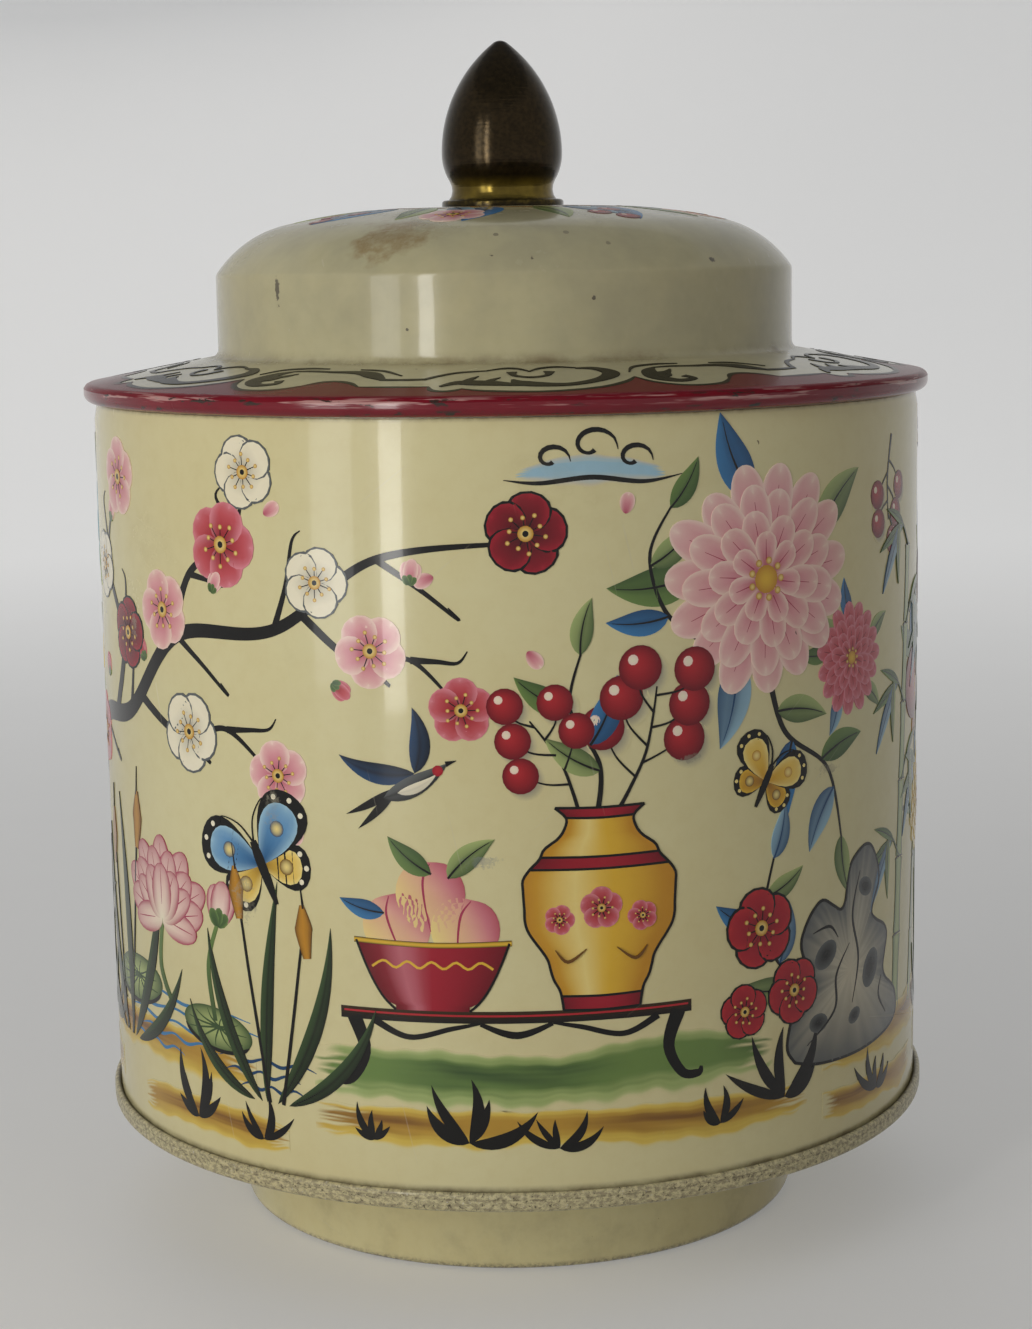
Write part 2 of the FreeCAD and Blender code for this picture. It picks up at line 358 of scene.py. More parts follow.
def lidWear(point, where, colour, rough, relief, dulling=1.0):
    span, height, angle = radiusAndHeight(point)
    ring = joined(times(angle, 56 * mm), height, span)
    fleck = noiseOf(point, 700.0, 5.0, 0.65)
    broad = noiseOf(point, 90.0, 4.0, 0.6)
    dull = spread(broad, 0.25, 0.75, 0.35 * dulling, 0.75 * dulling)  # aged lacquer
    colour = mixTone(dull, colour, "9d977c")
    crown = spread(height, 131.0 * mm, 136.0 * mm)  # dust on the dome
    dusty = times(crown, spread(noiseOf(point, 240.0, 6.0, 0.7), 0.4, 0.8, 0.0, 0.2 + 0.35 * dulling))
    colour = mixTone(dusty, colour, "8b8267")
    reach = lidStain["reach"] * mm
    away = vectorStep("DISTANCE", point, lidStain["spot"])["Value"]
    away = plus(away, times(minus(noiseOf(point, 260.0, 4.0), 0.5), reach * 1.8))
    stain = spread(away, reach, reach * 0.55)
    colour = mixTone(times(stain, spread(fleck, 0.25, 0.7, 0.25, 0.8)), colour, "8a7042")
    for spot, half in lidMarks:
        colour = mixTone(times(mark(point, spot, half), 0.8), colour, "453c38")
    cove = times(spread(span, 42.2 * mm, 39.6 * mm), spread(height, 119.0 * mm, 117.2 * mm))
    cove = times(cove, spread(noiseOf(point, 130.0, 6.0, 0.75), 0.4, 0.72, 0.1, 0.8))  # grime at the riser
    colour = mixTone(cove, colour, "705c3c")
    red = times(spread(span, 55.6 * mm, 55.7 * mm), spread(height, 114.46 * mm, 114.4 * mm))  # the rim
    lip = mixTone(spread(broad, 0.3, 0.7), tones["rim"], "7c1a26")
    colour = mixTone(red, colour, lip)
    nose = times(band(height, 113.55, 0.5, 0.35), spread(span, 56.7 * mm, 57.1 * mm))
    streaks = noiseOf(turned(ring, scale=(90, 1500, 1500)), 1.0, 3.0, 0.6)
    scuff = times(nose, spread(streaks, 0.54, 0.62))  # scuffs along its nose
    colour = mixTone(times(scuff, 0.75), colour, "c79a94")
    lower = times(band(height, 112.2, 0.35, 0.3), spread(span, 56.4 * mm, 57.0 * mm))
    chipNoise = noiseOf(turned(ring, scale=(260, 900, 900), shift=(0.4, 0.2, 0.1)), 1.0, 4.0, 0.65)
    chip = times(most(nose, lower), spread(chipNoise, 0.6, 0.63))  # chips in the paint
    colour = mixTone(chip, colour, "3a2d28")
    bare = times(nose, spread(streaks, 0.7, 0.74))  # worn through to the tin
    colour = mixTone(bare, colour, "b9b2a8")
    rough = plus(rough, times(most(cove, dusty), 0.3))
    relief = minus(relief, times(most(chip, scuff), 1.5))
    return colour, rough, times(bare, 0.8), relief


def baseWearAndShade(point, where, colour, rough, relief):
    span, height, angle = radiusAndHeight(point)
    flakes = noiseOf(turned(where, scale=(1.0, 1.5, 1.0)), 1250.0, 6.0, 0.72)
    pits = noiseOf(turned(where, shift=(0.4, 0.2, 0.0)), 1700.0, 5.0, 0.75)
    bead = times(spread(span, 55.9 * mm, 56.25 * mm), spread(height, 14.6 * mm, 14.85 * mm))
    rubbed = times(bead, spread(flakes, 0.4, 0.6, 0.1, 0.85))  # paint worn off the bead
    colour = mixTone(times(bead, 0.3), colour, "c4b993")
    colour = mixTone(rubbed, colour, "8d8268")
    bare = times(bead, spread(pits, 0.61, 0.67))  # bright tin on the bead
    colour = mixTone(bare, colour, "d2cec2")
    pit = times(bead, spread(pits, 0.45, 0.37))  # dark pits
    colour = mixTone(times(pit, 0.85), colour, "41382a")
    fold = times(band(height, 16.45, 0.05, 0.16), times(bead, spread(flakes, 0.4, 0.6, 0.2, 0.8)))
    colour = mixTone(fold, colour, "4b4030")  # painted shade: a dark line for the groove between the bead's folds
    crest = times(spread(height, 16.7 * mm, 17.2 * mm), spread(span, 56.85 * mm, 56.45 * mm))
    colour = mixTone(times(crest, 0.85), colour, "2f281e")  # painted shade on the bead's top, in the crease against the wall
    foot = times(spread(span, 40.2 * mm, 39.4 * mm), spread(height, 14.0 * mm, 8.0 * mm))
    stain = times(foot, spread(noiseOf(point, 130.0, 5.0, 0.65), 0.4, 0.75, 0.0, 0.35))
    colour = mixTone(stain, colour, "9a8f6c")  # stains down the foot
    scraped = times(spread(height, 1.3 * mm, 0.2 * mm), spread(flakes, 0.42, 0.58))
    colour = mixTone(times(scraped, 0.8), colour, "6f665a")  # where the foot is set down
    rough = plus(rough, times(bead, 0.22))
    relief = plus(relief, times(bead, times(plus(flakes, pits), 14.0)))
    return colour, rough, times(bare, 0.85), relief


def tinplate(name):
    material, shader = newMaterial(name)
    point = objectPoint()
    where = unrolled(point, 55.0)
    grain = parted(cellsOf(where, 260.0)["Color"])[0]
    facing = parted(addNode("ShaderNodeNewGeometry").outputs["True Normal"], "XYZ")
    flat = spread(calc("ABSOLUTE", facing[2]), 0.6, 0.85)
    around = noiseOf(turned(where, scale=(40, 2200, 300)), 1.0, 3.0)
    across = noiseOf(turned(point, scale=(40, 2200, 300)), 1.0, 3.0)
    rolled = plus(around, times(flat, minus(across, around)))
    shade = plus(times(grain, 0.35), times(rolled, 0.65))
    colour = mixTone(spread(shade, 0.2, 0.8), "c3bfb2", "dedacd")
    cloud = noiseOf(point, 60.0, 5.0, 0.6)
    colour = mixTone(spread(cloud, 0.5, 0.78, 0.0, 0.35), colour, "a3946f")
    rust = times(spread(noiseOf(point, 480.0, 5.0, 0.7), 0.66, 0.72), spread(cloud, 0.45, 0.6))
    colour = mixTone(rust, colour, "6b3d1e")
    feed(shader.inputs["Base Color"], colour)
    feed(shader.inputs["Metallic"], minus(0.8, rust, clamp=True))
    feed(shader.inputs["Roughness"], plus(spread(shade, 0.2, 0.8, 0.26, 0.4), times(rust, 0.4)))
    reliefOn(shader, rolled, 0.08, 0.3 * mm)
    return material


def agedBrass(name):
    material, shader = newMaterial(name)
    point = objectPoint()
    span, height, angle = radiusAndHeight(point)
    turnedLines = noiseOf(turned(point, scale=(120, 120, 2600)), 1.0, 3.0)
    mottle = noiseOf(point, 420.0, 5.0, 0.62)
    fine = noiseOf(point, 1600.0, 3.0, 0.6)
    rub = plus(times(mottle, 0.7), times(turnedLines, 0.3))
    neck = times(band(height, 138.9, 1.5, 0.7), spread(mottle, 0.25, 0.75, 0.25, 0.6))
    shine = most(neck, spread(rub, 0.58, 0.8, 0.0, 0.16), clamp=True)
    dark = mixTone(spread(fine, 0.3, 0.7), "271f11", "372c1a")
    colour = mixTone(shine, dark, "978031")
    crud = times(spread(height, 138.15 * mm, 137.75 * mm), spread(fine, 0.3, 0.6))
    colour = mixTone(times(crud, 0.8), colour, "15110a")
    feed(shader.inputs["Base Color"], colour)
    shader.inputs["Metallic"].default_value = 0.85
    feed(shader.inputs["Roughness"], spread(rub, 0.3, 0.75, 0.13, 0.24))
    reliefOn(shader, plus(turnedLines, times(mottle, 0.8)), 0.12, 0.2 * mm)
    return material


def platedSteel(name):
    material, shader = newMaterial(name)
    point = objectPoint()
    swirl = noiseOf(turned(point, scale=(300, 300, 2400)), 1.0, 3.0)
    blotch = noiseOf(point, 700.0, 4.0, 0.65)
    colour = mixTone(spread(swirl, 0.3, 0.7), "8f8a80", "b6b1a6")
    rust = spread(blotch, 0.58, 0.7)
    colour = mixTone(times(rust, 0.7), colour, "6a4326")
    feed(shader.inputs["Base Color"], colour)
    feed(shader.inputs["Metallic"], spread(rust, 0.0, 1.0, 1.0, 0.35))
    feed(shader.inputs["Roughness"], spread(blotch, 0.3, 0.8, 0.28, 0.6))
    return material


wallLacquer = lacquer("wallLacquer", tones["cream"], 56.2, wallWearAndShade)
lidLacquer = lacquer("lidLacquer", "cfc9a3", None, lidWear)
baseLacquer = lacquer("baseLacquer", tones["cream"], 56.2, baseWearAndShade)
wallInk = lacquer("wallInk", None, 56.2, wallWearAndShade)
mattLook = dict(lacquerLook, shine=0.03, coat=0.03)
lidInk = lacquer("lidInk", None, None, lambda *chain: lidWear(*chain, dulling=0.02), mattLook)
bareTin = tinplate("bareTin")
finialBrass = agedBrass("finialBrass")
screwSteel = platedSteel("screwSteel")
print("materials made")


# sheet-metal and turned pieces: a section of (radius, height, bend) corners, spun round the axis
def bentPath(corners, step=3.0, closed=True, arcTurn=14.0):
    count = len(corners)
    points = []
    for i, (r, z, bend) in enumerate(corners):
        here = Vector((r, z))
        inner = closed or 0 < i < count - 1
        if not bend or not inner:
            points.append(here)
            continue
        back = (Vector(corners[i - 1][:2]) - here).normalized()
        ahead = (Vector(corners[(i + 1) % count][:2]) - here).normalized()
        half = acos(max(-1.0, min(1.0, back.dot(ahead)))) / 2
        reach = bend * cos(half) / sin(half)
        start, end = here + back * reach, here + ahead * reach
        middle = here + (back + ahead).normalized() * (bend / sin(half))
        sweep = pi - 2 * half
        parts = max(2, int(sweep / radians(arcTurn)) + 1)
        a = atan2(start.y - middle.y, start.x - middle.x)
        b = atan2(end.y - middle.y, end.x - middle.x)
        turn = (b - a + pi) % (2 * pi) - pi
        turns = [a + turn * k / parts for k in range(parts + 1)]
        points += [middle + Vector((cos(t), sin(t))) * bend for t in turns]
    full = []
    for i, p in enumerate(points):
        full.append(p)
        if i < len(points) - 1 or closed:
            q = points[(i + 1) % len(points)]
            pieces = int((q - p).length / step) + 1
            full += [p.lerp(q, k / pieces) for k in range(1, pieces)]
    return [p for i, p in enumerate(full) if (p - full[i - 1]).length > 1e-5]


def pick(parts, test, mode):
    bpy.ops.object.mode_set(mode="EDIT")
    bpy.ops.mesh.select_mode(type=mode)
    bpy.ops.mesh.select_all(action="DESELECT")
    bpy.ops.object.mode_set(mode="OBJECT")
    for part in parts:
        part.select = test(part)
    bpy.ops.object.mode_set(mode="EDIT")


crispTurn = radians(38)  # sharper turns than this keep their edge
skinReach = 0.11  # faces this near the skin line carry its finish


def spinSection(name, path, steps=144, close=True):
    bpy.ops.object.select_all(action="DESELECT")
    bpy.ops.mesh.primitive_plane_add(size=2 * mm, location=(0, 0, 0))
    obj = bpy.context.object
    obj.name = obj.data.name = name
    bpy.ops.object.mode_set(mode="EDIT")
    bpy.ops.mesh.select_mode(type="VERT")
    bpy.ops.mesh.select_all(action="SELECT")
    bpy.ops.mesh.merge(type="CENTER")  # one vertex is left, and draws the section
    bpy.ops.transform.translate(value=(path[0].x * mm, 0, path[0].y * mm))
    for p, q in zip(path, path[1:]):
        move = ((q.x - p.x) * mm, 0, (q.y - p.y) * mm)
        bpy.ops.mesh.extrude_vertices_move(TRANSFORM_OT_translate={"value": move})
    if close and (path[0].x > 1e-6 or path[-1].x > 1e-6):
        ends = [Vector((p.x * mm, 0, p.y * mm)) for p in (path[0], path[-1])]
        pick(obj.data.vertices, lambda v: min((v.co - e).length for e in ends) < 1e-7, "VERT")
        bpy.ops.mesh.edge_face_add()  # closes the section
    bpy.ops.mesh.select_all(action="SELECT")
    bpy.ops.mesh.spin(steps=steps, angle=2 * pi, center=(0, 0, 0), axis=(0, 0, 1))
    bpy.ops.mesh.select_all(action="SELECT")
    bpy.ops.mesh.remove_doubles(threshold=2e-6)
    bpy.ops.mesh.normals_make_consistent(inside=False)
    bpy.ops.object.mode_set(mode="OBJECT")
    bpy.ops.object.shade_smooth_by_angle(angle=crispTurn)
    return obj


def distanceTo(path, r, z):
    best = 9e9
    p = Vector((r, z))
    for a, b in zip(path, path[1:]):
        run = b - a
        t = share((p - a).dot(run) / max(run.length_squared, 1e-12))
        best = min(best, (a + run * t - p).length)
    return best


def dressSkin(obj, outside, inside, skin):
    obj.data.materials.clear()
    obj.data.materials.append(outside)
    obj.data.materials.append(inside)
    known = {}
    for face in obj.data.polygons:
        spot = face.center
        key = (round(hypot(spot.x, spot.y) / mm, 2), round(spot.z / mm, 2))
        if key not in known:
            known[key] = distanceTo(skin, *key) < skinReach
        face.material_index = 0 if known[key] else 1


def settle(obj, body, slot, *nodes):
    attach(obj, body)
    if nodes:
        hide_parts(*nodes)


# body wall: one rolled sheet, hemmed at the mouth and hooked at the foot, with a lock seam behind
wall = {"radius": 56.2, "inner": 55.95, "mouth": 111.65, "bend": 0.4,
        "hem": 107.65, "hemTop": 111.4, "hemIn": 55.4, "hemOut": 55.65, "hemBend": 0.39, "hemFold": 0.1,
        "hook": 15.15, "hookLevel": 15.4, "hookTop": 16.8, "hookIn": 56.55, "hookOut": 56.8,
        "hookBend": 0.2, "hookFold": 0.05,
        "lockHalf": 2.45, "lockLow": 15.6, "lockTop": 100.7, "lockDepth": 0.75,
        "grooveTop": 111.0, "grooveIn": 56.0, "grooveSide": 0.95, "grooveDepth": 0.12,
        "wave": 0.05, "calmLow": (18.5, 16), "calmHigh": (107, 18), "dentRound": 56,
        "lean": 0.3, "leanFrom": 109.4, "leanTo": 111.25, "leanIn": 55.8, "leanOut": 56.2}
# angle, level, reach, depth
wallDents = ((-0.62, 52, 11, 0.16), (0.85, 80, 9, 0.13), (2.2, 40, 13, 0.2), (-1.9, 74, 12, 0.17))


def wallWave(angle, z):
    (low, rise), (high, fall) = wall["calmLow"], wall["calmHigh"]
    soft = sin(3 * angle + 0.7) * sin(z / 19 + 0.4) + 0.7 * sin(5 * angle - 1.1 + z / 41) * cos(z / 13)
    dent = 0.0
    for where, level, reach, depth in wallDents:
        away = hypot((angle - where) * wall["dentRound"], z - level) / reach
        dent += depth * max(0.0, 1 - away * away) ** 2
    return eased((z - low) / rise) * eased((high - z) / fall) * (wall["wave"] * soft - dent)


def wallRoll(z):  # the sheet leans in towards its folded mouth
    low, high = wall["leanFrom"], wall["leanTo"]
    return wall["lean"] * max(0.0, (min(z, high) - low) / (high - low)) ** 2


def wallSwell(angle, r, z):  # the hem inside stays upright
    outer = share((r - wall["leanIn"]) / (wall["leanOut"] - wall["leanIn"]))
    return wallWave(angle, z) - outer * wallRoll(z)


def swell(obj, growth):  # moves each point in or out from the axis
    for v in obj.data.vertices:
        span = hypot(v.co.x, v.co.y)
        grown = (span + growth(atan2(v.co.x, -v.co.y), span / mm, v.co.z / mm) * mm) / span
        v.co.x *= grown
        v.co.y *= grown


def makeWall(w):
    r, mouth, level = w["radius"], w["mouth"], w["hookLevel"]
    beyond = w["hookOut"] + w["hookFold"]
    skin = [(beyond, w["hookTop"], 0), (beyond, w["hook"] - w["hookFold"], 0), (r, level, 0),
            (r, mouth, w["bend"]), (w["hemIn"], mouth, w["hemBend"]), (w["hemIn"], w["hem"], 0)]
    corners = [(w["hemIn"], w["hem"], 0), (w["hemOut"], w["hem"], 0),
               (w["hemOut"], w["hemTop"], w["hemFold"]),
               (w["inner"], w["hemTop"], w["hemFold"]), (w["inner"], w["hook"], 0),
               (w["hookOut"], w["hook"], w["hookBend"]), (w["hookOut"], w["hookTop"], 0),
               (w["hookIn"], w["hookTop"], 0), (w["hookIn"], level, 0), (r, level, w["hookFold"]),
               (r, mouth, w["bend"]), (w["hemIn"], mouth, w["hemBend"])]
    obj = spinSection("bodyWall", bentPath(corners, step=1.6))
    dressSkin(obj, wallLacquer, bareTin, bentPath(skin, closed=False))
    swell(obj, wallSwell)

    def atSeam(face, side, low, high):
        spot, nose = face.center, face.normal
        facing = (nose.x * spot.x + nose.y * spot.y) * side > 0
        return facing and spot.y > 0 and abs(spot.x) < w["lockHalf"] * mm and low * mm < spot.z < high * mm

    def lockFold(face):  # the lock's folded layers, on the inside of the seam
        return atSeam(face, -1, w["lockLow"], w["lockTop"])

    def lockGroove(face):  # the narrow groove that the lock leaves outside
        spot = face.center
        outside = hypot(spot.x, spot.y) > w["grooveIn"] * mm
        return outside and spot.x > 0 and atSeam(face, 1, level, w["grooveTop"])

    pick(obj.data.polygons, lockFold, "FACE")
    bpy.ops.mesh.extrude_region_move(TRANSFORM_OT_translate={"value": (0, -w["lockDepth"] * mm, 0)})
    pick(obj.data.polygons, lockGroove, "FACE")
    bpy.ops.mesh.inset(thickness=w["grooveSide"] * mm, use_boundary=True)
    bpy.ops.mesh.extrude_region_move(TRANSFORM_OT_translate={"value": (0, -w["grooveDepth"] * mm, 0)})
    bpy.ops.object.mode_set(mode="OBJECT")
    bpy.ops.object.shade_smooth_by_angle(angle=crispTurn)
    settle(obj, "tin", "printed_lacquer", "body_wall")


makeWall(wall)
print("body wall made")


# base: a drawn pan with its foot, its edge folded over the wall's hook as a bead
base = {"foot": 38.9, "bend": 1.2, "cove": 1.1, "coveAt": 12.285, "coveIn": 12.5, "sheet": 0.25,
        "ringIn": 34.5, "ringBend": 0.5, "ringFold": 0.3, "ringSlope": 0.104, "panel": 33.3, "recess": 1.2,
        "bead": 57.15, "beadIn": 56.25, "beadLow": 14.85, "beadTop": 17.25, "beadBend": 0.44,
        "edgeBend": 0.7, "edgeFold": 0.4, "edgeIn": 15.067, "foldEnd": 15.45, "skinEnd": 16.2}


def makeBase(b):
    low, top, sheet, fold = b["beadLow"], b["beadTop"], b["sheet"], b["foldEnd"]
    foot, panel, slope = b["foot"] - sheet, b["recess"] + sheet, b["ringSlope"]
    beadIn, beadOut = b["beadIn"] + sheet, b["bead"] - sheet
    outer = [(0, b["recess"], 0), (b["panel"], b["recess"], b["ringBend"]), (b["ringIn"], 0, b["ringBend"]),
             (b["foot"], 0, b["bend"]), (b["foot"], b["coveAt"], b["cove"]), (b["bead"], low, b["edgeBend"]),
             (b["bead"], top, b["beadBend"]), (b["beadIn"], top, b["beadBend"])]
    inner = [(b["beadIn"], fold, 0), (beadIn, fold, 0), (beadIn, top - sheet, 0), (beadOut, top - sheet, 0),
             (beadOut, b["edgeIn"], b["edgeFold"]), (foot, b["coveIn"], b["cove"] + sheet),
             (foot, sheet, b["bend"] - sheet), (b["ringIn"] + slope, sheet, b["ringFold"]),
             (b["panel"] + slope, panel, b["ringFold"]), (0, panel, 0)]
    obj = spinSection("basePan", bentPath(outer + inner, closed=False))
    dressSkin(obj, baseLacquer, bareTin, bentPath(outer + [(b["beadIn"], b["skinEnd"], 0)], closed=False))
    settle(obj, "tin", "printed_lacquer", "base_pan")


makeBase(base)
print("base made")


# lid: one drawn sheet from the crown to the curled rim
lid = {"rim": 57.5, "rimLow": 111.75, "rimBend": 1.2, "edge": 114.1, "edgeIn": 113.9, "edgeBend": 1.0,
       "riser": 39.25, "foot": 117.45, "footIn": 117.24, "cove": 1.1, "crease": 128.3, "creaseIn": 128.2,
       "creaseBend": 1.2, "crown": 136.8, "hole": 2.15, "sheet": 0.25, "curl": 55.3, "curlTop": 113.749,
       "wave": 0.035, "waveAt": 123, "waveHalf": 4.5, "waveFrom": 38}
lidArcs = {"pad": 12.0, "long": 81.309, "longTurn": 12.583, "haunchAt": (26.336, 119.719), "haunch": 15.5,
           "haunchTurn": 55, "haunchIn": 53}


def domeArc(cx, cz, radius, start, end, parts):
    turns = [radians(start + (end - start) * k / parts) for k in range(parts + 1)]
    return [(cx + radius * sin(t), cz + radius * cos(t), 0) for t in turns]


def lidSkin():
    arcs = lidArcs
    dome = domeArc(arcs["pad"], lid["crown"] - arcs["long"], arcs["long"], 0, arcs["longTurn"], 10)
    dome += domeArc(*arcs["haunchAt"], arcs["haunch"], arcs["longTurn"], arcs["haunchTurn"], 12)[1:-1]
    rim = [(lid["riser"], lid["crease"], lid["creaseBend"]), (lid["riser"], lid["foot"], lid["cove"]),
           (lid["rim"], lid["edge"], lid["edgeBend"]), (lid["rim"], lid["rimLow"], lid["rimBend"])]
    return [(lid["hole"], lid["crown"], 0)] + dome + rim


def lidWave(angle, r, z):
    riser = max(0.0, 1 - abs(z - lid["waveAt"]) / lid["waveHalf"]) if r > lid["waveFrom"] else 0.0
    return lid["wave"] * riser * (sin(4 * angle + 0.3) + 0.6 * sin(7 * angle + 2.0))


def makeLid(p):
    arcs, sheet = lidArcs, p["sheet"]
    rim, riser, low = p["rim"] - sheet, p["riser"] - sheet, p["rimLow"] + sheet
    outer = lidSkin() + [(p["curl"], p["rimLow"], 0)]
    inner = [(p["curl"], p["curlTop"], 0), (p["curl"] + sheet, p["curlTop"], 0), (p["curl"] + sheet, low, 0),
             (rim, low, p["rimBend"] - sheet), (rim, p["edgeIn"], p["edgeBend"] - sheet),
             (riser, p["footIn"], p["cove"] + sheet), (riser, p["creaseIn"], p["creaseBend"] - sheet)]
    inner += domeArc(*arcs["haunchAt"], arcs["haunch"] - sheet, arcs["haunchIn"], arcs["longTurn"], 10)
    long = arcs["long"]
    inner += domeArc(arcs["pad"], p["crown"] - long, long - sheet, arcs["longTurn"], 0, 8)[1:]
    inner += [(p["hole"], p["crown"] - sheet, 0)]
    obj = spinSection("lidShell", bentPath(outer + inner, step=2.4, arcTurn=12.0))
    dressSkin(obj, lidLacquer, bareTin, bentPath(outer, step=2.4, closed=False, arcTurn=12.0))
    swell(obj, lidWave)
    settle(obj, "lid", "printed_lacquer", "lid_shell")


makeLid(lid)
print("lid made")


# plug ring inside the lid, with its edge turned in to lead into the mouth
plugRing = {"outer": 55.25, "inner": 55.0, "shoulder": 113.954, "shoulderIn": 114.254, "shoulderBend": 0.3,
            "flange": (56.5, 113.724), "flangeTop": (56.545, 113.97), "lead": 103.85, "leadIn": 103.883,
            "leadBend": 0.8, "leadFold": 0.6, "toe": (54.928, 102.65), "toeIn": (54.687, 102.715)}


def makePlugRing(p):
    corners = [(p["outer"], p["shoulder"], 0), (*p["flange"], 0), (*p["flangeTop"], 0),
               (p["inner"], p["shoulderIn"], p["shoulderBend"]), (p["inner"], p["leadIn"], p["leadFold"]),
               (*p["toeIn"], 0), (*p["toe"], 0), (p["outer"], p["lead"], p["leadBend"])]
    obj = spinSection("plugRing", bentPath(corners, step=2.5))
    obj.data.materials.append(bareTin)
    settle(obj, "lid", "bare_tinplate", "lid_plug_ring")


makePlugRing(plugRing)


# finial: a turned brass bud on its rosette, held from inside by a screw and washer
finial = {"foot": 137.8, "seat": 4.6,
          "neck": ((7.353, 137.8), (6.98, 138.42), (6.85, 139.1), (6.93, 139.75), (7.173, 140.346)),
          "belly": (1.192, 144.0, 7.008), "bellyTurn": -31.4, "ogive": (-10.303, 144.0, 18.503),
          "ogiveTurn": 52.44, "cap": (0, 157.4, 1.6), "capTurn": 37.5, "bore": 2.15, "boreTop": 147.8,
          "plate": 8.3, "plateLow": 136.8, "plateFoot": 0.12, "plateBend": 0.42, "steps": 96}


def makeFinial(f):
    def arc(middle, turns):  # heights go up with the turn from level
        r, z, reach = middle
        return [(r + reach * cos(a), z + reach * sin(a)) for a in (radians(t) for t in turns)]

    bore = [(0, f["boreTop"]), (f["bore"], f["boreTop"]), (f["bore"], f["foot"]), (f["seat"], f["foot"])]
    bud = [*f["neck"], *arc(f["belly"], [f["bellyTurn"] * (6 - k) / 6 for k in range(1, 7)])]
    bud += arc(f["ogive"], [f["ogiveTurn"] * k / 18 for k in range(1, 19)])
    bud += arc(f["cap"], [90 - f["capTurn"] * (5 - k) / 5 for k in range(1, 5)])
    tip = (0, f["cap"][1] + f["cap"][2])
    plate = [(f["bore"], f["plateLow"], 0), (f["plate"], f["plateLow"], f["plateFoot"]),
             (f["plate"], f["foot"], f["plateBend"]), (f["bore"], f["foot"], 0)]
    for name, path, node in (("finialBud", [Vector(p) for p in (*bore, *bud, tip)], "finial_bud"),
                             ("finialRosette", bentPath(plate, step=1.5), "finial_rosette")):
        obj = spinSection(name, path, f["steps"])
        obj.data.materials.append(finialBrass)
        settle(obj, "lid", "aged_brass", node)


makeFinial(finial)
for node in ("finial_washer", "finial_screw"):
    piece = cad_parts[node]
    piece.data.materials.clear()
    piece.data.materials.append(screwSteel)
print("plug ring and finial made")


# printed films: ink shapes drawn on the flat sheet and laid just proud of the tin
inkFilm = {"bury": 0.03, "lift": 0.04, "step": 0.002, "cell": 0.8, "nudge": 0.05}
films = {}
pen = {"film": None, "place": None, "lift": 0.0}


def onWall(a, b, lift):
    angle = a / wall["radius"]
    r = (wall["radius"] + wallWave(angle, b) - wallRoll(b) + lift) * mm
    return Vector((sin(angle) * r, -cos(angle) * r, b * mm))


borderEdge = (56.9, 114.2)  # radius and height where the border starts
borderRadius = 54.0  # its lengths are read at this radius
lidLine = bentPath(lidSkin(), step=0.6, closed=False, arcTurn=5.0)[::-1]
lidRuns = [0.0]
for before, after in zip(lidLine, lidLine[1:]):
    lidRuns.append(lidRuns[-1] + (after - before).length)
lidZero = min(range(len(lidLine)),
              key=lambda k: abs(lidLine[k].x - borderEdge[0]) + abs(lidLine[k].y - borderEdge[1]))


def onLid(a, b, lift):
    run = min(max(b + lidRuns[lidZero], 0.0), lidRuns[-1] - 0.01)
    k = max(0, min(len(lidRuns) - 2, bisect(lidRuns, run) - 1))
    t = (run - lidRuns[k]) / (lidRuns[k + 1] - lidRuns[k])
    spot = lidLine[k].lerp(lidLine[k + 1], t)
    along = (lidLine[k + 1] - lidLine[k]).normalized()
    angle = a / borderRadius
    r = (spot.x + lidWave(angle, spot.x, spot.y) + along.y * lift) * mm
    return Vector((sin(angle) * r, -cos(angle) * r, (spot.y - along.x * lift) * mm))


crownReach = 38.0  # the dome, inside its crease


def onCrown(a, b, lift):
    r = min(max(hypot(a, b), 0.01), crownReach)
    k = next(i for i, p in enumerate(lidLine) if p.x < r)
    p, q = lidLine[k - 1], lidLine[k]
    z = p.y + (q.y - p.y) * (p.x - r) / max(p.x - q.x, 1e-6)
    return Vector((a * mm, b * mm, (z + lift) * mm))


def usePen(film, place, lift):
    films.setdefault(film, {"points": [], "bends": [], "tones": [], "faces": [], "flat": []})
    pen.update(film=film, place=place, lift=inkFilm["lift"] + lift)


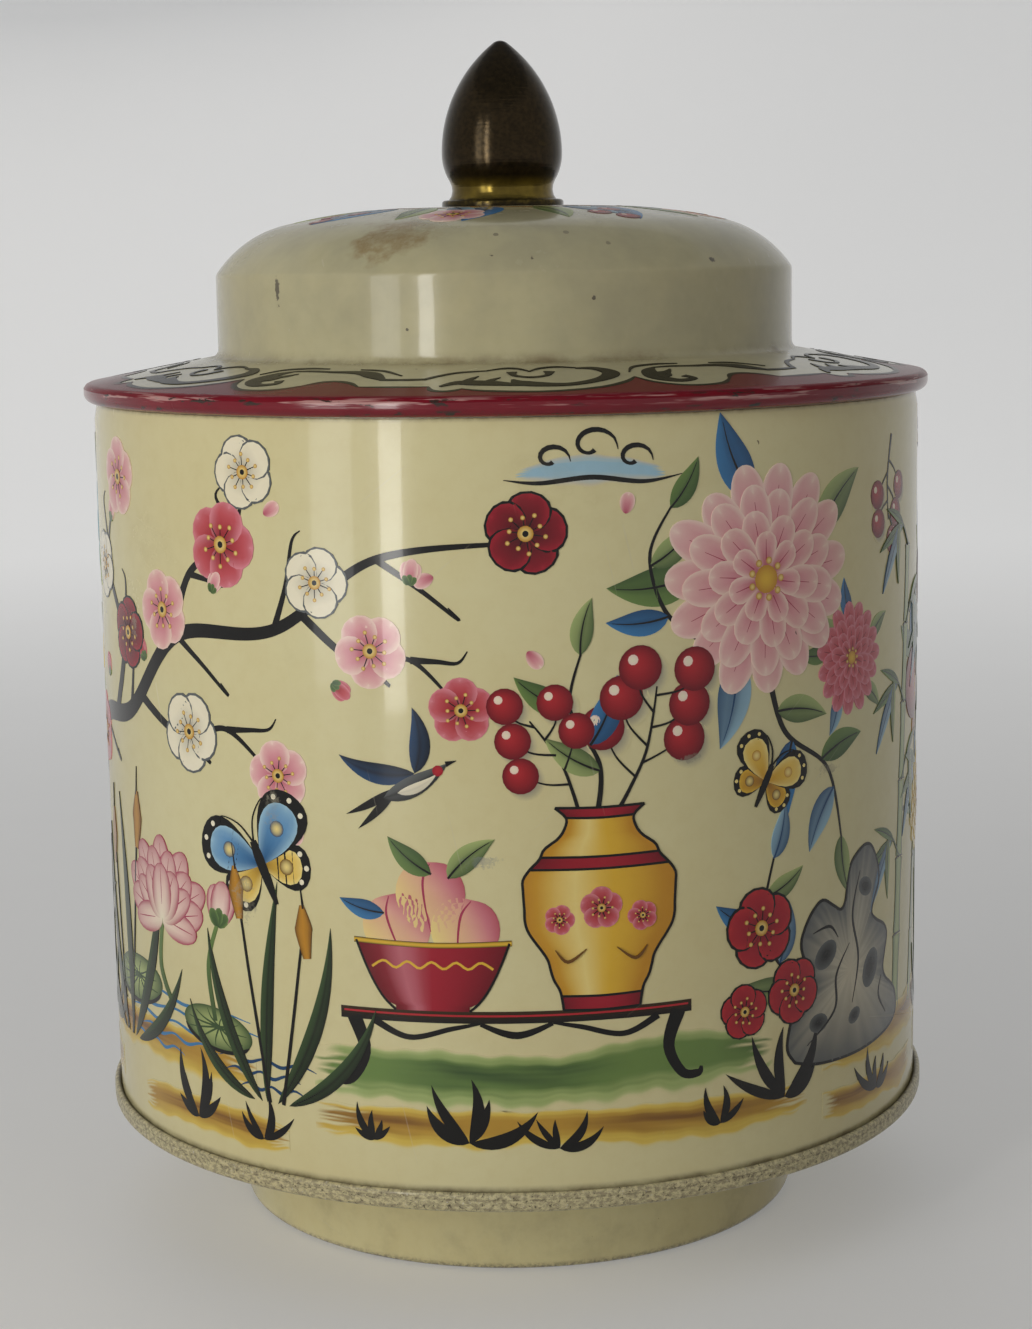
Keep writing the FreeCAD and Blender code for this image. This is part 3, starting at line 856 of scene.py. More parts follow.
def quilt(rows, columns, spot, shade, ring=False):
    film, place = films[pen["film"]], pen["place"]
    lift, nudge = pen["lift"], inkFilm["nudge"]
    pen["lift"] += inkFilm["step"]  # the next shape of this motif lies a hair above
    start = len(film["points"])
    grid = []
    for i in range(rows + 1):
        u = i / rows
        across = 1 if ring and i == 0 else columns if ring else columns + 1
        line = []
        for j in range(across):
            v = j / columns
            a, b = spot(u, v)
            line.append(len(film["points"]))
            here = place(a, b, lift)
            bend = (place(a + nudge, b, lift) - here).cross(place(a, b + nudge, lift) - here).normalized()
            film["points"].append(here)
            film["bends"].append(bend)
            film["tones"].append(inkTone(shade(u, v)))
        grid.append(line)
    count = len(film["points"]) - start
    for k in range(start, start + count):
        film["points"].append(film["points"][k] - film["bends"][k] * (lift + inkFilm["bury"]) * mm)
        film["bends"].append(-film["bends"][k])
        film["tones"].append(film["tones"][k])
    tops = []
    for low, high in zip(grid, grid[1:]):
        wide = len(high)
        for j in range(wide if ring else wide - 1):
            k = (j + 1) % wide
            tops.append((low[0], high[j], high[k]) if len(low) == 1 else (low[j], high[j], high[k], low[k]))
    a, b, c = (film["points"][k] for k in tops[len(tops) // 2][:3])
    if (b - a).cross(c - a).dot(film["bends"][tops[len(tops) // 2][0]]) < 0:
        tops = [f[::-1] for f in tops]
    film["faces"] += tops + [tuple(k + count for k in f[::-1]) for f in tops]
    film["flat"] += [False] * (2 * len(tops))
    pairs = {}
    for f in tops:
        for p, q in zip(f, f[1:] + f[:1]):
            pairs[(p, q)] = True
    edges = [(p, q) for p, q in pairs if (q, p) not in pairs]
    film["faces"] += [(q, p, p + count, q + count) for p, q in edges]
    film["flat"] += [True] * len(edges)


def layFilms(names, body, material):
    for name in names:
        film = films[name]
        mesh = bpy.data.meshes.new(name)
        mesh.from_pydata(film["points"], [], film["faces"])
        mesh.polygons.foreach_set("use_smooth", [not f for f in film["flat"]])
        ink = mesh.attributes.new("ink", "FLOAT_COLOR", "POINT")
        ink.data.foreach_set("color", [c for t in film["tones"] for c in (*t, 1.0)])
        bends = []
        for face, flat in zip(mesh.polygons, film["flat"]):
            bends += [(0, 0, 0) if flat else tuple(film["bends"][v]) for v in face.vertices]
        mesh.normals_split_custom_set(bends)
        mesh.materials.append(material)
        obj = bpy.data.objects.new(name, mesh)
        bpy.context.scene.collection.objects.link(obj)
        settle(obj, body, "printed_lacquer")
        print("film", name, len(film["faces"]))


def chance(n):  # a fixed number from 0 to 1 for each n
    return sin(n * 12.9898 + 4.1) * 43758.5453 % 1.0


def local(x, y, turn=0.0, size=1.0, flip=1):  # places in a motif's own square
    c, s = cos(radians(turn)) * size, sin(radians(turn)) * size
    return lambda p, q: (x + flip * p * c - q * s, y + flip * p * s + q * c)


def out(x, y, far, turn):  # a place some way off
    return x + far * cos(radians(turn)), y + far * sin(radians(turn))


def runLength(points):
    return sum(hypot(q[0] - p[0], q[1] - p[1]) for p, q in zip(points, points[1:]))


def smoothLine(points, count):  # a curve through the points
    curve = []
    last = len(points) - 1
    for k in range(count + 1):
        t = k / count * last
        i = min(int(t), last - 1)
        f = t - i
        p = [points[max(0, min(last, i + d))] for d in (-1, 0, 1, 2)]
        curve.append(tuple(0.5 * (2 * b + (c - a) * f + (2 * a - 5 * b + 4 * c - d) * f * f
                                  + (3 * b - a - 3 * c + d) * f ** 3) for a, b, c, d in zip(*p)))
    return curve


def stroke(points, widths, ink, inkEnd=None, edge=None):
    count = max(10, min(150, int(runLength(points) / 0.5)))
    if len(widths) == 2:
        widths = [widths[0] + (widths[1] - widths[0]) * k / (len(points) - 1) for k in range(len(points))]
    line = smoothLine([(*p, w) for p, w in zip(points, widths)], count)

    def spot(u, v):
        k = round(u * count)
        x, y, w = line[k]
        p, q = line[max(0, k - 1)], line[min(count, k + 1)]
        dx, dy = q[0] - p[0], q[1] - p[1]
        run = max(hypot(dx, dy), 1e-9)
        side = (v - 0.5) * max(w, 0.06)
        return x - dy / run * side, y + dx / run * side

    def shade(u, v):
        colour = blendTone(ink, inkEnd, u) if inkEnd else ink
        return blendTone(colour, edge, abs(2 * v - 1) ** 2) if edge else colour
    quilt(count, 2 if not edge else 4, spot, shade)


def cells(size, least):
    return max(least, int(size / inkFilm["cell"]) + 1)


def petal(base, turn, length, width, inks, belly=1.4, notch=0.0, hook=0.0, rows=8, columns=6):
    deep, mid, pale = inks
    rows, columns = cells(length, rows), cells(width, columns)
    put = local(*base, turn - 90)

    def spot(u, v):
        side, u = 2 * v - 1, 0.5 - 0.5 * cos(pi * u)  # closer rows at both ends
        along = u * length * (1 - notch * (1 - abs(side)) ** 1.5 * u ** 5)
        half = width / 2 * sqrt(max(0.0, 1 - (2 * u ** belly - 1) ** 2))
        return put(side * half + hook * length * u * u, along)

    def shade(u, v):
        rim = max(abs(2 * v - 1) ** 2.2, u ** 3)
        colour = blendTone(deep, mid, u * 1.6)
        return blendTone(colour, pale, rim * min(1.0, u * 2.2))
    quilt(rows, columns, spot, shade)


def leafShape(base, tip, bow, width, light, dark, vein=None):
    dx, dy = tip[0] - base[0], tip[1] - base[1]
    run = hypot(dx, dy)
    control = ((base[0] + tip[0]) / 2 - dy * bow, (base[1] + tip[1]) / 2 + dx * bow)

    def spine(u):
        return tuple((1 - u) ** 2 * p + 2 * u * (1 - u) * c + u * u * q
                     for p, c, q in zip(base, control, tip))

    def spot(u, v):
        x, y = spine(u)
        p, q = spine(max(0, u - 0.02)), spine(min(1, u + 0.02))
        tx, ty = q[0] - p[0], q[1] - p[1]
        far = max(hypot(tx, ty), 1e-9)
        side = (2 * v - 1) * width / 2 * sin(pi * u ** 0.8) ** 0.9 * (1 - 0.12 * u)
        return x - ty / far * side, y + tx / far * side

    def shade(u, v):
        colour = blendTone(dark, light, 0.15 + 0.85 * v)
        return blendTone(colour, dark, 0.55 * max(0.0, 1 - abs(2 * v - 1) * 3) + 0.35 * (1 - u) ** 2)
    quilt(cells(run, 12), cells(width, 6), spot, shade)
    if vein:
        stroke([spine(k / 5 * 0.9) for k in range(6)], [width * 0.09, 0.08], vein)


def disc(centre, radius, inner, outer, squash=1.0, turn=0.0, rings=4, columns=20, power=1.5, shift=(0, 0)):
    put = local(*centre, turn)

    def spot(u, v):
        ease = 1 - u
        x, y = u * cos(2 * pi * v) + shift[0] * ease, u * sin(2 * pi * v) + shift[1] * ease
        return put(radius * x, radius * squash * y)
    rings, columns = cells(radius, rings), cells(2 * pi * radius, columns)
    quilt(rings, columns, spot, lambda u, v: blendTone(inner, outer, u ** power), ring=True)


def blob(outline, inner, outer, heart=None, rings=5, power=1.4, streak=0.0):
    loop = smoothLine(outline[-1:] + outline + outline[:2], (len(outline) + 2) * 8)
    step = len(loop) / (len(outline) + 2)
    loop = loop[int(step):int(step) + len(outline) * 8]
    count = len(loop)
    middle = heart or (sum(p[0] for p in outline) / len(outline), sum(p[1] for p in outline) / len(outline))

    def spot(u, v):
        x, y = loop[round(v * count) % count]
        return middle[0] + (x - middle[0]) * u, middle[1] + (y - middle[1]) * u

    def shade(u, v):
        wobble = streak * (chance(round(v * count) % count + 31) - 0.5)
        return blendTone(inner, outer, u ** power + wobble)
    quilt(rings, count, spot, shade, ring=True)
    return loop


def berry(x, y, r, shadow=True):
    if shadow:
        level, pen["lift"] = pen["lift"], inkFilm["lift"] * 0.8  # under every other shape
        disc((x + 0.26 * r, y - 0.3 * r), r * 1.1, "grey", "cream", power=3.0, rings=4, columns=16)
        pen["lift"] = level
    disc((x, y), r, "scarlet", "darkRed", shift=(-0.3, 0.3), power=1.3, rings=4, columns=16)
    disc((x - 0.34 * r, y + 0.36 * r), r * 0.24, "white", "blush", rings=2, columns=10)


def softWash(points, widths, heart, middle, skirt, seed):
    length = runLength(points)
    count = max(12, int(length / 0.6))
    line = smoothLine([(*p, w) for p, w in zip(points, widths)], count)
    hairs, crest = 20, 0.66  # bristle lines across, and how far up the darkest one lies

    def spot(u, v):
        k = round(u * count)
        x, y, w = line[k]
        ragged = 0.1 * sin(k * 0.37 + seed) + 0.07 * sin(k * 0.91 + 2 * seed)
        return x, y + (v - 0.5) * w * (1 + (ragged if v < 0.5 else 0.5 * ragged))

    def shade(u, v):
        k, hair = round(u * count), round(v * hairs)
        streak = 0.5 * (chance(hair * 3.3 + seed) - 0.5) + 0.16 * sin(k * 0.23 + hair * 0.9 + seed)
        away = (crest - v) / crest if v < crest else (v - crest) / (1 - crest)
        dark = share(0.55 + 0.75 * sin(u * length / 6.5 + seed))
        colour = blendTone(blendTone(middle, heart, dark), middle, away * 2.0 + streak)
        colour = blendTone(colour, skirt, (away - 0.35) * 2.0 + 0.6 * streak)
        reach = 0.02 + 0.12 * chance(hair * 1.9 + seed * 0.7)
        fade = max((away - 0.84) / 0.12 + 0.5 * streak, (reach - min(u, 1 - u)) / 0.04)
        return blendTone(colour, "cream", fade)
    quilt(count, hairs, spot, shade)


# motifs, each drawn at a place on the sheet (millimetres round the wall and up it)
petalRows = ((15, 1.0, 0.34), (13, 0.8, 0.31), (10, 0.58, 0.28), (7, 0.36, 0.22))  # count, reach, width


def bloom(x, y, r, inks, turn):
    for level, (count, reach, width) in enumerate(petalRows):
        for k in range(count):
            angle = turn + level * 11 + 360 * k / count + 5 * (chance(k + level * 17 + x) - 0.5)
            far = r * reach * (0.94 + 0.12 * chance(k * 3 + level + y))
            start = out(x, y, 0.06 * r, angle)
            petal(start, angle, far, width * r * 1.12, inks, 1.7, 0.1, 0.05 * (chance(k + x) - 0.5))
            stroke([out(*start, far * t, angle) for t in (0.3, 0.55, 0.8)], (0.16, 0.06), inks[0])
    disc((x, y), r * 0.13, "gold", "ochre", rings=3, columns=14)
    for k in range(9):
        disc(out(x, y, 0.17 * r, 40 * k), r * 0.035, "straw", "ochre", rings=2, columns=8)


def plum(x, y, r, inks, turn, rim=None):
    for k in range(5):
        angle = turn + 72 * k
        if rim:
            petal((x, y), angle, r * 1.06, r * 1.16, (rim,) * 3, 1.15, 0.12, rows=6)
        petal((x, y), angle, r, r * 1.04, inks, 1.15, 0.12)
    for k in range(10):
        angle = turn + 36 * k + 18
        end = out(x, y, r * (0.5 if k % 2 else 0.4), angle)
        stroke([out(x, y, 0.1 * r, angle), end], (0.14, 0.09), "black")
        disc(end, 0.06 * r, "straw", "ochre", rings=2, columns=8)
    disc((x, y), 0.2 * r, "straw", "ochre", rings=3, columns=14)
    disc((x, y), 0.08 * r, "black", "black", rings=2, columns=10)


def flowerBud(x, y, r, turn, inks):
    petal((x, y), turn - 16, r * 1.3, r * 0.8, inks, 1.1)
    petal((x, y), turn + 16, r * 1.3, r * 0.8, inks, 1.1)
    petal((x, y), turn, r * 1.45, r * 0.85, inks, 1.1)
    for side in (-38, 0, 38):
        petal((x, y), turn + side, r * 0.6, r * 0.4, ("moss", "moss", "leaf"), 1.0, rows=5, columns=4)


leafInks = {"leaf": ("lime", "moss", "black"), "green": ("leaf", "moss", "black"),
            "blue": ("sky", "navy", "navy"), "mid": ("blue", "navy", "black")}


def twoToneLeaf(x, y, turn, length, kind, bow=0.12, plump=0.42):
    leafShape((x, y), out(x, y, length, turn), bow, length * plump, *leafInks[kind])


def spray(points, width, leaves):
    stroke(points, (width, width * 0.35), "black")
    line = smoothLine(points, 40)
    for t, side, length, kind in leaves:
        i = min(39, int(t * 40))
        p, q = line[i], line[i + 1]
        turn = atan2(q[1] - p[1], q[0] - p[0]) * 180 / pi + side
        twoToneLeaf(p[0], p[1], turn, length, kind, 0.12 if side > 0 else -0.12)


def butterfly(x, y, size, turn, fore, hind, spots="white"):
    for opening, length, width, inks in ((112, 0.7, 0.56, hind), (52, 1.0, 0.7, fore)):
        for side in (1, -1):
            angle = 90 + turn + side * opening
            petal((x, y), angle, length * size, width * size, ("black",) * 3, 1.9, 0.05)
            petal((x, y), angle, length * size * 0.84, width * size * 0.76, inks, 1.8, 0.05)
            for off in (-0.2, 0.0, 0.2):
                spot = out(x, y, size * (length * 0.92 - abs(off) * 0.4), angle)
                spot = out(*spot, size * off * width * 1.5, angle + 90)
                disc(spot, 0.035 * size, spots, spots, rings=2, columns=8)
            disc(out(x, y, size * length * 0.52, angle), 0.1 * size, "straw", inks[0], rings=3, columns=12)
    put = local(x, y, turn, size)
    widths = [w * size for w in (0.09, 0.14, 0.12, 0.05)]
    stroke([put(0, t) for t in (0.3, 0.1, -0.2, -0.5)], widths, "black")
    for side in (1, -1):
        feeler = [put(side * a, b) for a, b in ((0, 0.28), (0.12, 0.55), (0.34, 0.72), (0.42, 0.66))]
        stroke(feeler, (0.22, 0.16, 0.14, 0.3), "black")


caneLeaves = ((-18, 9, "green"), (-52, 11, "blue"), (-88, 8.5, "leaf"), (22, 7, "green"))


def bamboo(x, low, high, lean, width, joints, side):
    def joint(k):
        return x + lean * k / joints, low + (high - low) * k / joints

    for k in range(joints):
        p, q = joint(k), joint(k + 1)
        pinch = width * (1 - 0.35 * k / joints)
        inner = [(p[0] + (q[0] - p[0]) * t, p[1] + (q[1] - p[1]) * t) for t in (0.02, 0.3, 0.7, 0.98)]
        stroke(inner, (pinch * 1.12, pinch * 0.92, pinch * 0.92, pinch * 1.12), "lime", None, "moss")
        node = [(q[0] - pinch * 0.62, q[1] - 0.1), (q[0], q[1] + 0.12), (q[0] + pinch * 0.62, q[1] - 0.1)]
        stroke(node, (0.12, 0.4, 0.12), "black")
    for k in range(2, joints + 1):
        px, py = joint(k)
        way = side * (1 if k % 2 else -1)
        stroke([(px, py), (px + way * 2.6, py + 2.8), (px + way * 5.5, py + 4.5)], (0.4, 0.2), "moss")
        for n, (turn, long, kind) in enumerate(caneLeaves):
            spot = (px + way * (2.6 + 0.9 * (n % 3)), py + 2.8 + 0.5 * (n % 3))
            twoToneLeaf(*spot, turn if way > 0 else 180 - turn, long, kind, 0.08 * way, 0.2)


def gardenRock(x, y, size):
    put = local(x, y, 0, size)
    outline = [(-0.62, 0), (-0.66, 0.3), (-0.44, 0.5), (-0.56, 0.85), (-0.36, 1.12), (-0.1, 1.02),
               (0.0, 1.32), (0.26, 1.42), (0.42, 1.15), (0.3, 0.9), (0.56, 0.72), (0.5, 0.42), (0.74, 0.22),
               (0.7, 0.0), (0.05, -0.08)]
    loop = blob([put(*p) for p in outline], "pearl", "slate", put(0.0, 0.55), 7, 1.2, 0.25)
    stroke(loop[::3] + loop[:1], (0.4,) * (len(loop[::3]) + 1), "black")
    for hx, hy, hr, tilt in ((-0.3, 0.72, 0.13, 30), (0.2, 1.12, 0.1, -20), (0.28, 0.5, 0.15, 60),
                             (-0.38, 0.24, 0.1, 0), (0.05, 0.2, 0.08, 20)):
        disc(put(hx, hy), hr * size, "black", "slate", 0.7, tilt, 3, 14)
    for line in (((-0.5, 0.1), (-0.2, 0.3), (-0.18, 0.55), (-0.02, 0.75)),
                 ((0.02, 0.3), (0.1, 0.62), (0.02, 0.95), (0.12, 1.25)),
                 ((0.55, 0.1), (0.42, 0.26), (0.46, 0.4)), ((-0.44, 0.9), (-0.26, 0.92), (-0.16, 0.82))):
        stroke([put(*p) for p in line], (0.1,) + (0.4,) * (len(line) - 2) + (0.1,), "black")


def lotus(x, y, r, inks, stem):
    stroke(stem, (0.9, 0.8), "moss", "leaf")
    for fan, reach, width in (((-62, -32, 0, 32, 62), 1.0, 0.5), ((-78, -46, -15, 15, 46, 78), 0.86, 0.48),
                              ((-98, -58, 58, 98), 0.72, 0.38),
                              ((-28, 28, 0), 0.66, 0.46)):
        for angle in fan:
            petal((x, y), 90 + angle, r * reach, r * width, inks, 0.95, rows=9)
            vein = [out(x, y, r * reach * t, 90 + angle) for t in (0.25, 0.6, 0.9)]
            stroke(vein, (0.08, 0.16, 0.06), "rose")


def lotusPad(x, y, r, squash, turn):
    disc((x, y), r, "lime", "moss", squash, turn, 6, 40, 2.0, (0.1, 0.15))
    put = local(x, y, turn)
    for k in range(11):
        a = 2 * pi * (k + 0.3) / 11
        far = r * (0.8 + 0.12 * chance(k + x))
        rib = [put(0.1 * r, 0.15 * r * squash)]
        rib += [put(t * far * cos(a), t * far * squash * sin(a)) for t in (0.55, 1)]
        stroke(rib, (0.3, 0.22, 0.08), "moss")
    rim = [put(r * cos(t), r * squash * sin(t)) for t in (radians(200 + 14 * k) for k in range(11))]
    stroke(rim, (0.1,) + (0.5,) * 9 + (0.1,), "black")


def ripples(x, y, width, count, ink="blue"):
    for k in range(count):
        w = width * (1 - 0.16 * k) * (0.8 + 0.3 * chance(k + x))
        cx = x + width * 0.18 * (chance(k * 5 + y) - 0.5)
        cy = y - 1.7 * k
        wave = [(cx - w / 2 + w * t / 6, cy + (0.45 if t % 2 else -0.25)) for t in range(7)]
        stroke(wave, (0.08, 0.34, 0.46, 0.3, 0.46, 0.3, 0.08), ink)


def peach(x, y, r, turn):
    put = local(x, y, turn, r)

    def spot(u, v):
        a = 2 * pi * v
        rho = u * (1 + 0.16 * max(0.0, -sin(a)) ** 6 - 0.1 * max(0.0, sin(a)) ** 10)
        return put(rho * cos(a), rho * sin(a))

    def shade(u, v):
        blushing = 0.5 + 0.5 * cos(2 * pi * v - 0.6) * u
        skin = blendTone("straw", "pink", blushing * 1.2)
        return blendTone(skin, "red", max(0.0, blushing - 0.6) * 1.6 * u)
    quilt(6, 28, spot, shade, ring=True)
    crease = [put(0.0, 0.86), put(-0.2, 0.4), put(-0.16, -0.3), put(0.0, -1.1)]
    stroke(crease, (0.12, 0.3, 0.24, 0.08), "rose")


def pomegranate(x, y, r, turn):
    put = local(x, y, turn, r)
    for side in (-24, 0, 24):
        inks = ("darkRed", "red", "ochre")
        petal(put(0, -0.86), turn - 90 + side, r * 0.62, r * 0.34, inks, 1.2, 0.3, rows=5, columns=4)
    disc((x, y), r, "scarlet", "darkRed", 0.96, turn, 6, 28, 1.8, (-0.25, 0.25))
    rind = [put(0.32, -0.62), put(0.6, -0.1), put(0.5, 0.5), put(0.28, 0.1)]
    blob(rind, "straw", "gold", None, 3)
    for k in range(9):
        p = put(0.44 + 0.1 * ((k % 3) - 1), -0.35 + 0.085 * k)
        disc(p, 0.07 * r, "blush", "red", rings=2, columns=8)
    disc(put(-0.38, 0.36), 0.14 * r, "white", "scarlet", 0.6, turn + 40, 3, 12)


def swallow(x, y, size, turn):
    put = local(x, y, turn, size)
    for tip, bow in (((-1.15, 0.62), 0.22), ((0.25, 1.15), -0.2)):
        leafShape(put(0.05, 0.1), put(*tip), bow, 0.36 * size, "navy", "black")
    for tip in ((-1.25, -0.35), (-1.1, -0.62)):
        leafShape(put(-0.3, -0.08), put(*tip), 0.06, 0.15 * size, "black", "black")
    leafShape(put(-0.55, -0.2), put(0.62, 0.16), -0.1, 0.36 * size, "slate", "black")
    leafShape(put(-0.3, -0.16), put(0.4, 0.02), -0.16, 0.17 * size, "white", "pearl")
    disc(put(0.43, 0.07), 0.09 * size, "scarlet", "red", rings=2, columns=10)
    stroke([put(0.58, 0.15), put(0.76, 0.17)], (0.09 * size, 0.06), "black")


def cloudScroll(x, y, size, flip):
    put = local(x, y, 0, size, flip)
    haze = [put(-1.3, -0.16), put(-0.4, -0.1), put(0.5, -0.12), put(1.3, -0.2)]
    softWash(haze, [w * size for w in (0.2, 0.5, 0.5, 0.2)], "sky", "sky", "pearl", x)
    turns = [0.5 * k for k in range(11)]
    for sx, sy, r in ((-0.7, 0.1, 0.34), (0.0, 0.3, 0.46), (0.72, 0.08, 0.36)):
        coil = [out(0, 0, r * (1 - 0.16 * k), -10 + 62 * k) for k in turns]
        coil = [put(sx + a, sy + b * 0.8) for a, b in coil]
        stroke(coil, (0.1, 0.3, 0.5, 0.6, 0.6, 0.55, 0.5, 0.45, 0.4, 0.5, 0.6), "black")
    under = [put(-1.5, -0.24), put(-0.9, -0.3), put(0.0, -0.22), put(0.9, -0.32), put(1.6, -0.22)]
    stroke(under, (0.08, 0.5, 0.6, 0.5, 0.08), "black")


def grassTuft(x, y, size):
    for k in range(5):
        wide, long = chance(x * 1.3 + k * 7), chance(x + k * 3.7 + y)
        lean = 1.7 * k / 4 - 0.85 + 0.3 * (wide - 0.5)
        run = size * (0.5 + 0.55 * long)
        bow = (-0.26 if lean > 0 else 0.26) * (0.3 + wide)
        leafShape((x, y), out(x, y, run, 90 - 66 * lean), bow, size * (0.14 + 0.07 * wide), "black", "black")


def jar(x, low, height, width):
    profile = [(0, 0.5), (0.06, 0.52), (0.2, 0.66), (0.45, 0.98), (0.64, 1.0), (0.8, 0.72), (0.88, 0.46),
               (0.95, 0.44), (1.0, 0.58)]

    def half(u):
        for (a, p), (b, q) in zip(profile, profile[1:]):
            if u <= b + 1e-9:
                return (p + (q - p) * eased((u - a) / (b - a))) * width / 2

    def at(u, v):
        return x + (2 * v - 1) * half(u), low + u * height

    def shade(u, v):
        side = 2 * v - 1
        body = blendTone("gold", "ochre", abs(side) ** 2 + 0.3 * (side > 0) * side)
        return blendTone(body, "straw", max(0.0, 1 - abs(side + 0.35) * 2.4))

    def beltShade(u, v):
        return blendTone("red", "darkRed", (2 * v - 1) ** 2)
    quilt(30, 12, at, shade)
    for a, b in ((0.0, 0.07), (0.7, 0.76), (0.95, 1.0)):
        quilt(4, 14, lambda u, v: at(a + (b - a) * u, v), beltShade)
    for side in (0, 1):
        stroke([at(k / 20, side) for k in range(21)], (0.34,) * 21, "black")
    for u in (0.0, 0.07, 0.7, 0.76, 0.95, 1.0):
        stroke([at(u, 0), (x, low + u * height - 0.15), at(u, 1)], (0.3, 0.3), "black")
    for k in (-1, 0, 1):
        spot = (x + k * width * 0.27, low + height * (0.45 if k else 0.5))
        plum(*spot, width * (0.1 if k else 0.14), coralInks, 18 + 20 * k)
    for k in (-1, 1):
        sprig = [(x + k * width * a, low + height * b) for a, b in ((0.1, 0.3), (0.22, 0.24), (0.3, 0.3))]
        stroke(sprig, (0.1, 0.4, 0.1), "umber")


def bowl(x, low, width, height):
    def half(u):
        return width / 2 * (0.42 + 0.58 * u ** 0.55) if u > 0.08 else width * 0.24

    def at(u, v):
        return x + (2 * v - 1) * half(u), low + u * height

    def shade(u, v):
        side = 2 * v - 1
        body = blendTone("red", "darkRed", abs(side) ** 1.6)
        return blendTone(body, "pink", max(0.0, 1 - abs(side + 0.4) * 3) * 0.6)
    quilt(16, 14, at, shade)
    lip = half(1) * 1.03
    edge = [(x - lip, low + height), (x, low + height - 0.3), (x + lip, low + height)]
    stroke(edge, (0.7, 0.7), "gold", None, "black")
    for side in (0, 1):
        stroke([at(k / 12, side) for k in range(13)], (0.3,) * 13, "black")
    wave = [(x + half(0.6) * (k / 5 - 1) * 0.92, low + height * (0.62 + 0.1 * (k % 2))) for k in range(11)]
    stroke(wave, (0.3,) * 11, "gold")


def lowTable(x, low, width, height):
    top = low + height

    def board(u, v):
        return x + (v - 0.5) * width, top - 1.5 + 1.5 * u
    quilt(2, 30, board, lambda u, v: blendTone("black", "umber", 0.25 * u))
    line = [(x - width * 0.49, top - 0.5), (x, top - 0.55), (x + width * 0.49, top - 0.5)]
    stroke(line, (0.24, 0.24), "scarlet")
    for side in (-width, width):
        leg = ((0.46, top - 1.2), (0.43, low + height * 0.45), (0.47, low + 0.9), (0.52, low + 0.5),
               (0.53, low + 1.3))
        stroke([(x + side * a, b) for a, b in leg], (1.9, 1.5, 1.2, 1.0, 0.4), "black")
        swag = ((0.4, 1.5), (0.3, 3.4), (0.18, 2.2), (0.1, 1.5))
        stroke([(x + side * a, top - b) for a, b in swag], (0.9, 0.7, 0.6, 0.3), "black")
    knot = [(x - width * 0.1, top - 1.6), (x, top - 3.0), (x + width * 0.1, top - 1.6)]
    stroke(knot, (0.5, 0.9, 0.5), "black")


def berrySprig(x, y, turn, size, count=5):
    put = local(x, y, turn, size)
    stem = smoothLine([(0, 0), (0.05, 0.5), (-0.05, 1.0)], 40)
    stroke([put(*spot) for spot in stem[::10]], (0.5, 0.2), "black")
    for k in range(count):
        side = 1 if k % 2 else -1
        t = 0.35 + 0.65 * k / max(1, count - 1)
        end = put(side * 0.36 * (1.15 - t * 0.6), t + 0.22)
        stroke([put(*stem[round(36 * t)]), put(side * 0.16, t + 0.05), end], (0.3, 0.14), "black")
        berry(end[0], end[1], 0.17 * size)


def cattails(x, y, size, flip):
    put = local(x, y, 0, size, flip)
    for foot, tip, bow, width in ((-0.1, (-0.52, 1.0), 0.14, 0.1), (0.02, (0.42, 1.12), -0.16, 0.11),
                                  (0.1, (0.7, 0.66), -0.24, 0.1), (-0.06, (0.06, 1.36), 0.05, 0.1),
                                  (-0.16, (-0.72, 0.52), 0.24, 0.09)):
        leafShape(put(foot, 0), put(*tip), bow * flip, width * size, "moss", "black")
    for foot, bend, tip in ((-0.04, (-0.16, 0.7), (-0.26, 1.3)), (0.06, (0.16, 0.6), (0.24, 1.12))):
        stroke([put(foot, 0), put(*bend), put(*tip)], (0.5, 0.3), "black")
        head = [put(tip[0] + a, tip[1] + b) for a, b in ((0.02, -0.2), (0, -0.05), (0, 0), (-0.01, 0.12))]
        stroke(head, [w * size for w in (0.05, 0.11, 0.11, 0.03)], "ochre", None, "umber")
        stroke([put(tip[0], tip[1] + 0.1), put(tip[0] - 0.02, tip[1] + 0.26)], (0.3, 0.1), "black")


def moth(x, y, size, turn):
    butterfly(x, y, size, turn, ("ochre", "gold", "straw"), ("umber", "ochre", "gold"), "straw")


def draw(film, lift, motif, *values):
    usePen(film, onWall, lift)
    motif(*values)


roseInks = ("rose", "pink", "blush")
snowInks = ("grey", "white", "white")
wineInks = ("black", "darkRed", "red")
skyInks = ("navy", "blue", "sky")
sunInks = ("umber", "gold", "straw")
coralInks = ("darkRed", "scarlet", "pink")

groundStrokes = (
    ((4, 31.6), 60, 7.4, "green"), ((7, 24.7), 66, 5.2, "ochre"), ((-58, 29.2), 46, 5.8, "ochre"),
    ((-45, 21.7), 30, 4.8, "ochre"), ((66, 28.6), 46, 6.0, "ochre"), ((57, 21.4), 28, 4.4, "ochre"),
    ((96, 23.4), 40, 5.4, "ochre"), ((104, 31.0), 44, 6.4, "green"), ((142, 25.6), 46, 5.8, "ochre"),
    ((164, 32.0), 30, 5.0, "green"), ((-92, 22.6), 40, 5.2, "ochre"), ((-118, 29.6), 44, 6.6, "green"),
    ((-150, 23.4), 46, 5.6, "ochre"))


def groundStroke(spot, length, thick, kind):
    x, y = spot
    heart, middle, skirt = ("loam", "amber", "flax") if kind == "ochre" else ("moss", "leaf", "lime")
    ys = [y + 1.4 * (chance(x + k) - 0.5) for k in range(5)]
    points = [(x + length * (k / 4 - 0.5), ys[k]) for k in range(5)]
    softWash(points, (thick * 0.8, thick, thick * 0.9, thick * 1.05, thick * 0.7), heart, middle, skirt, x)


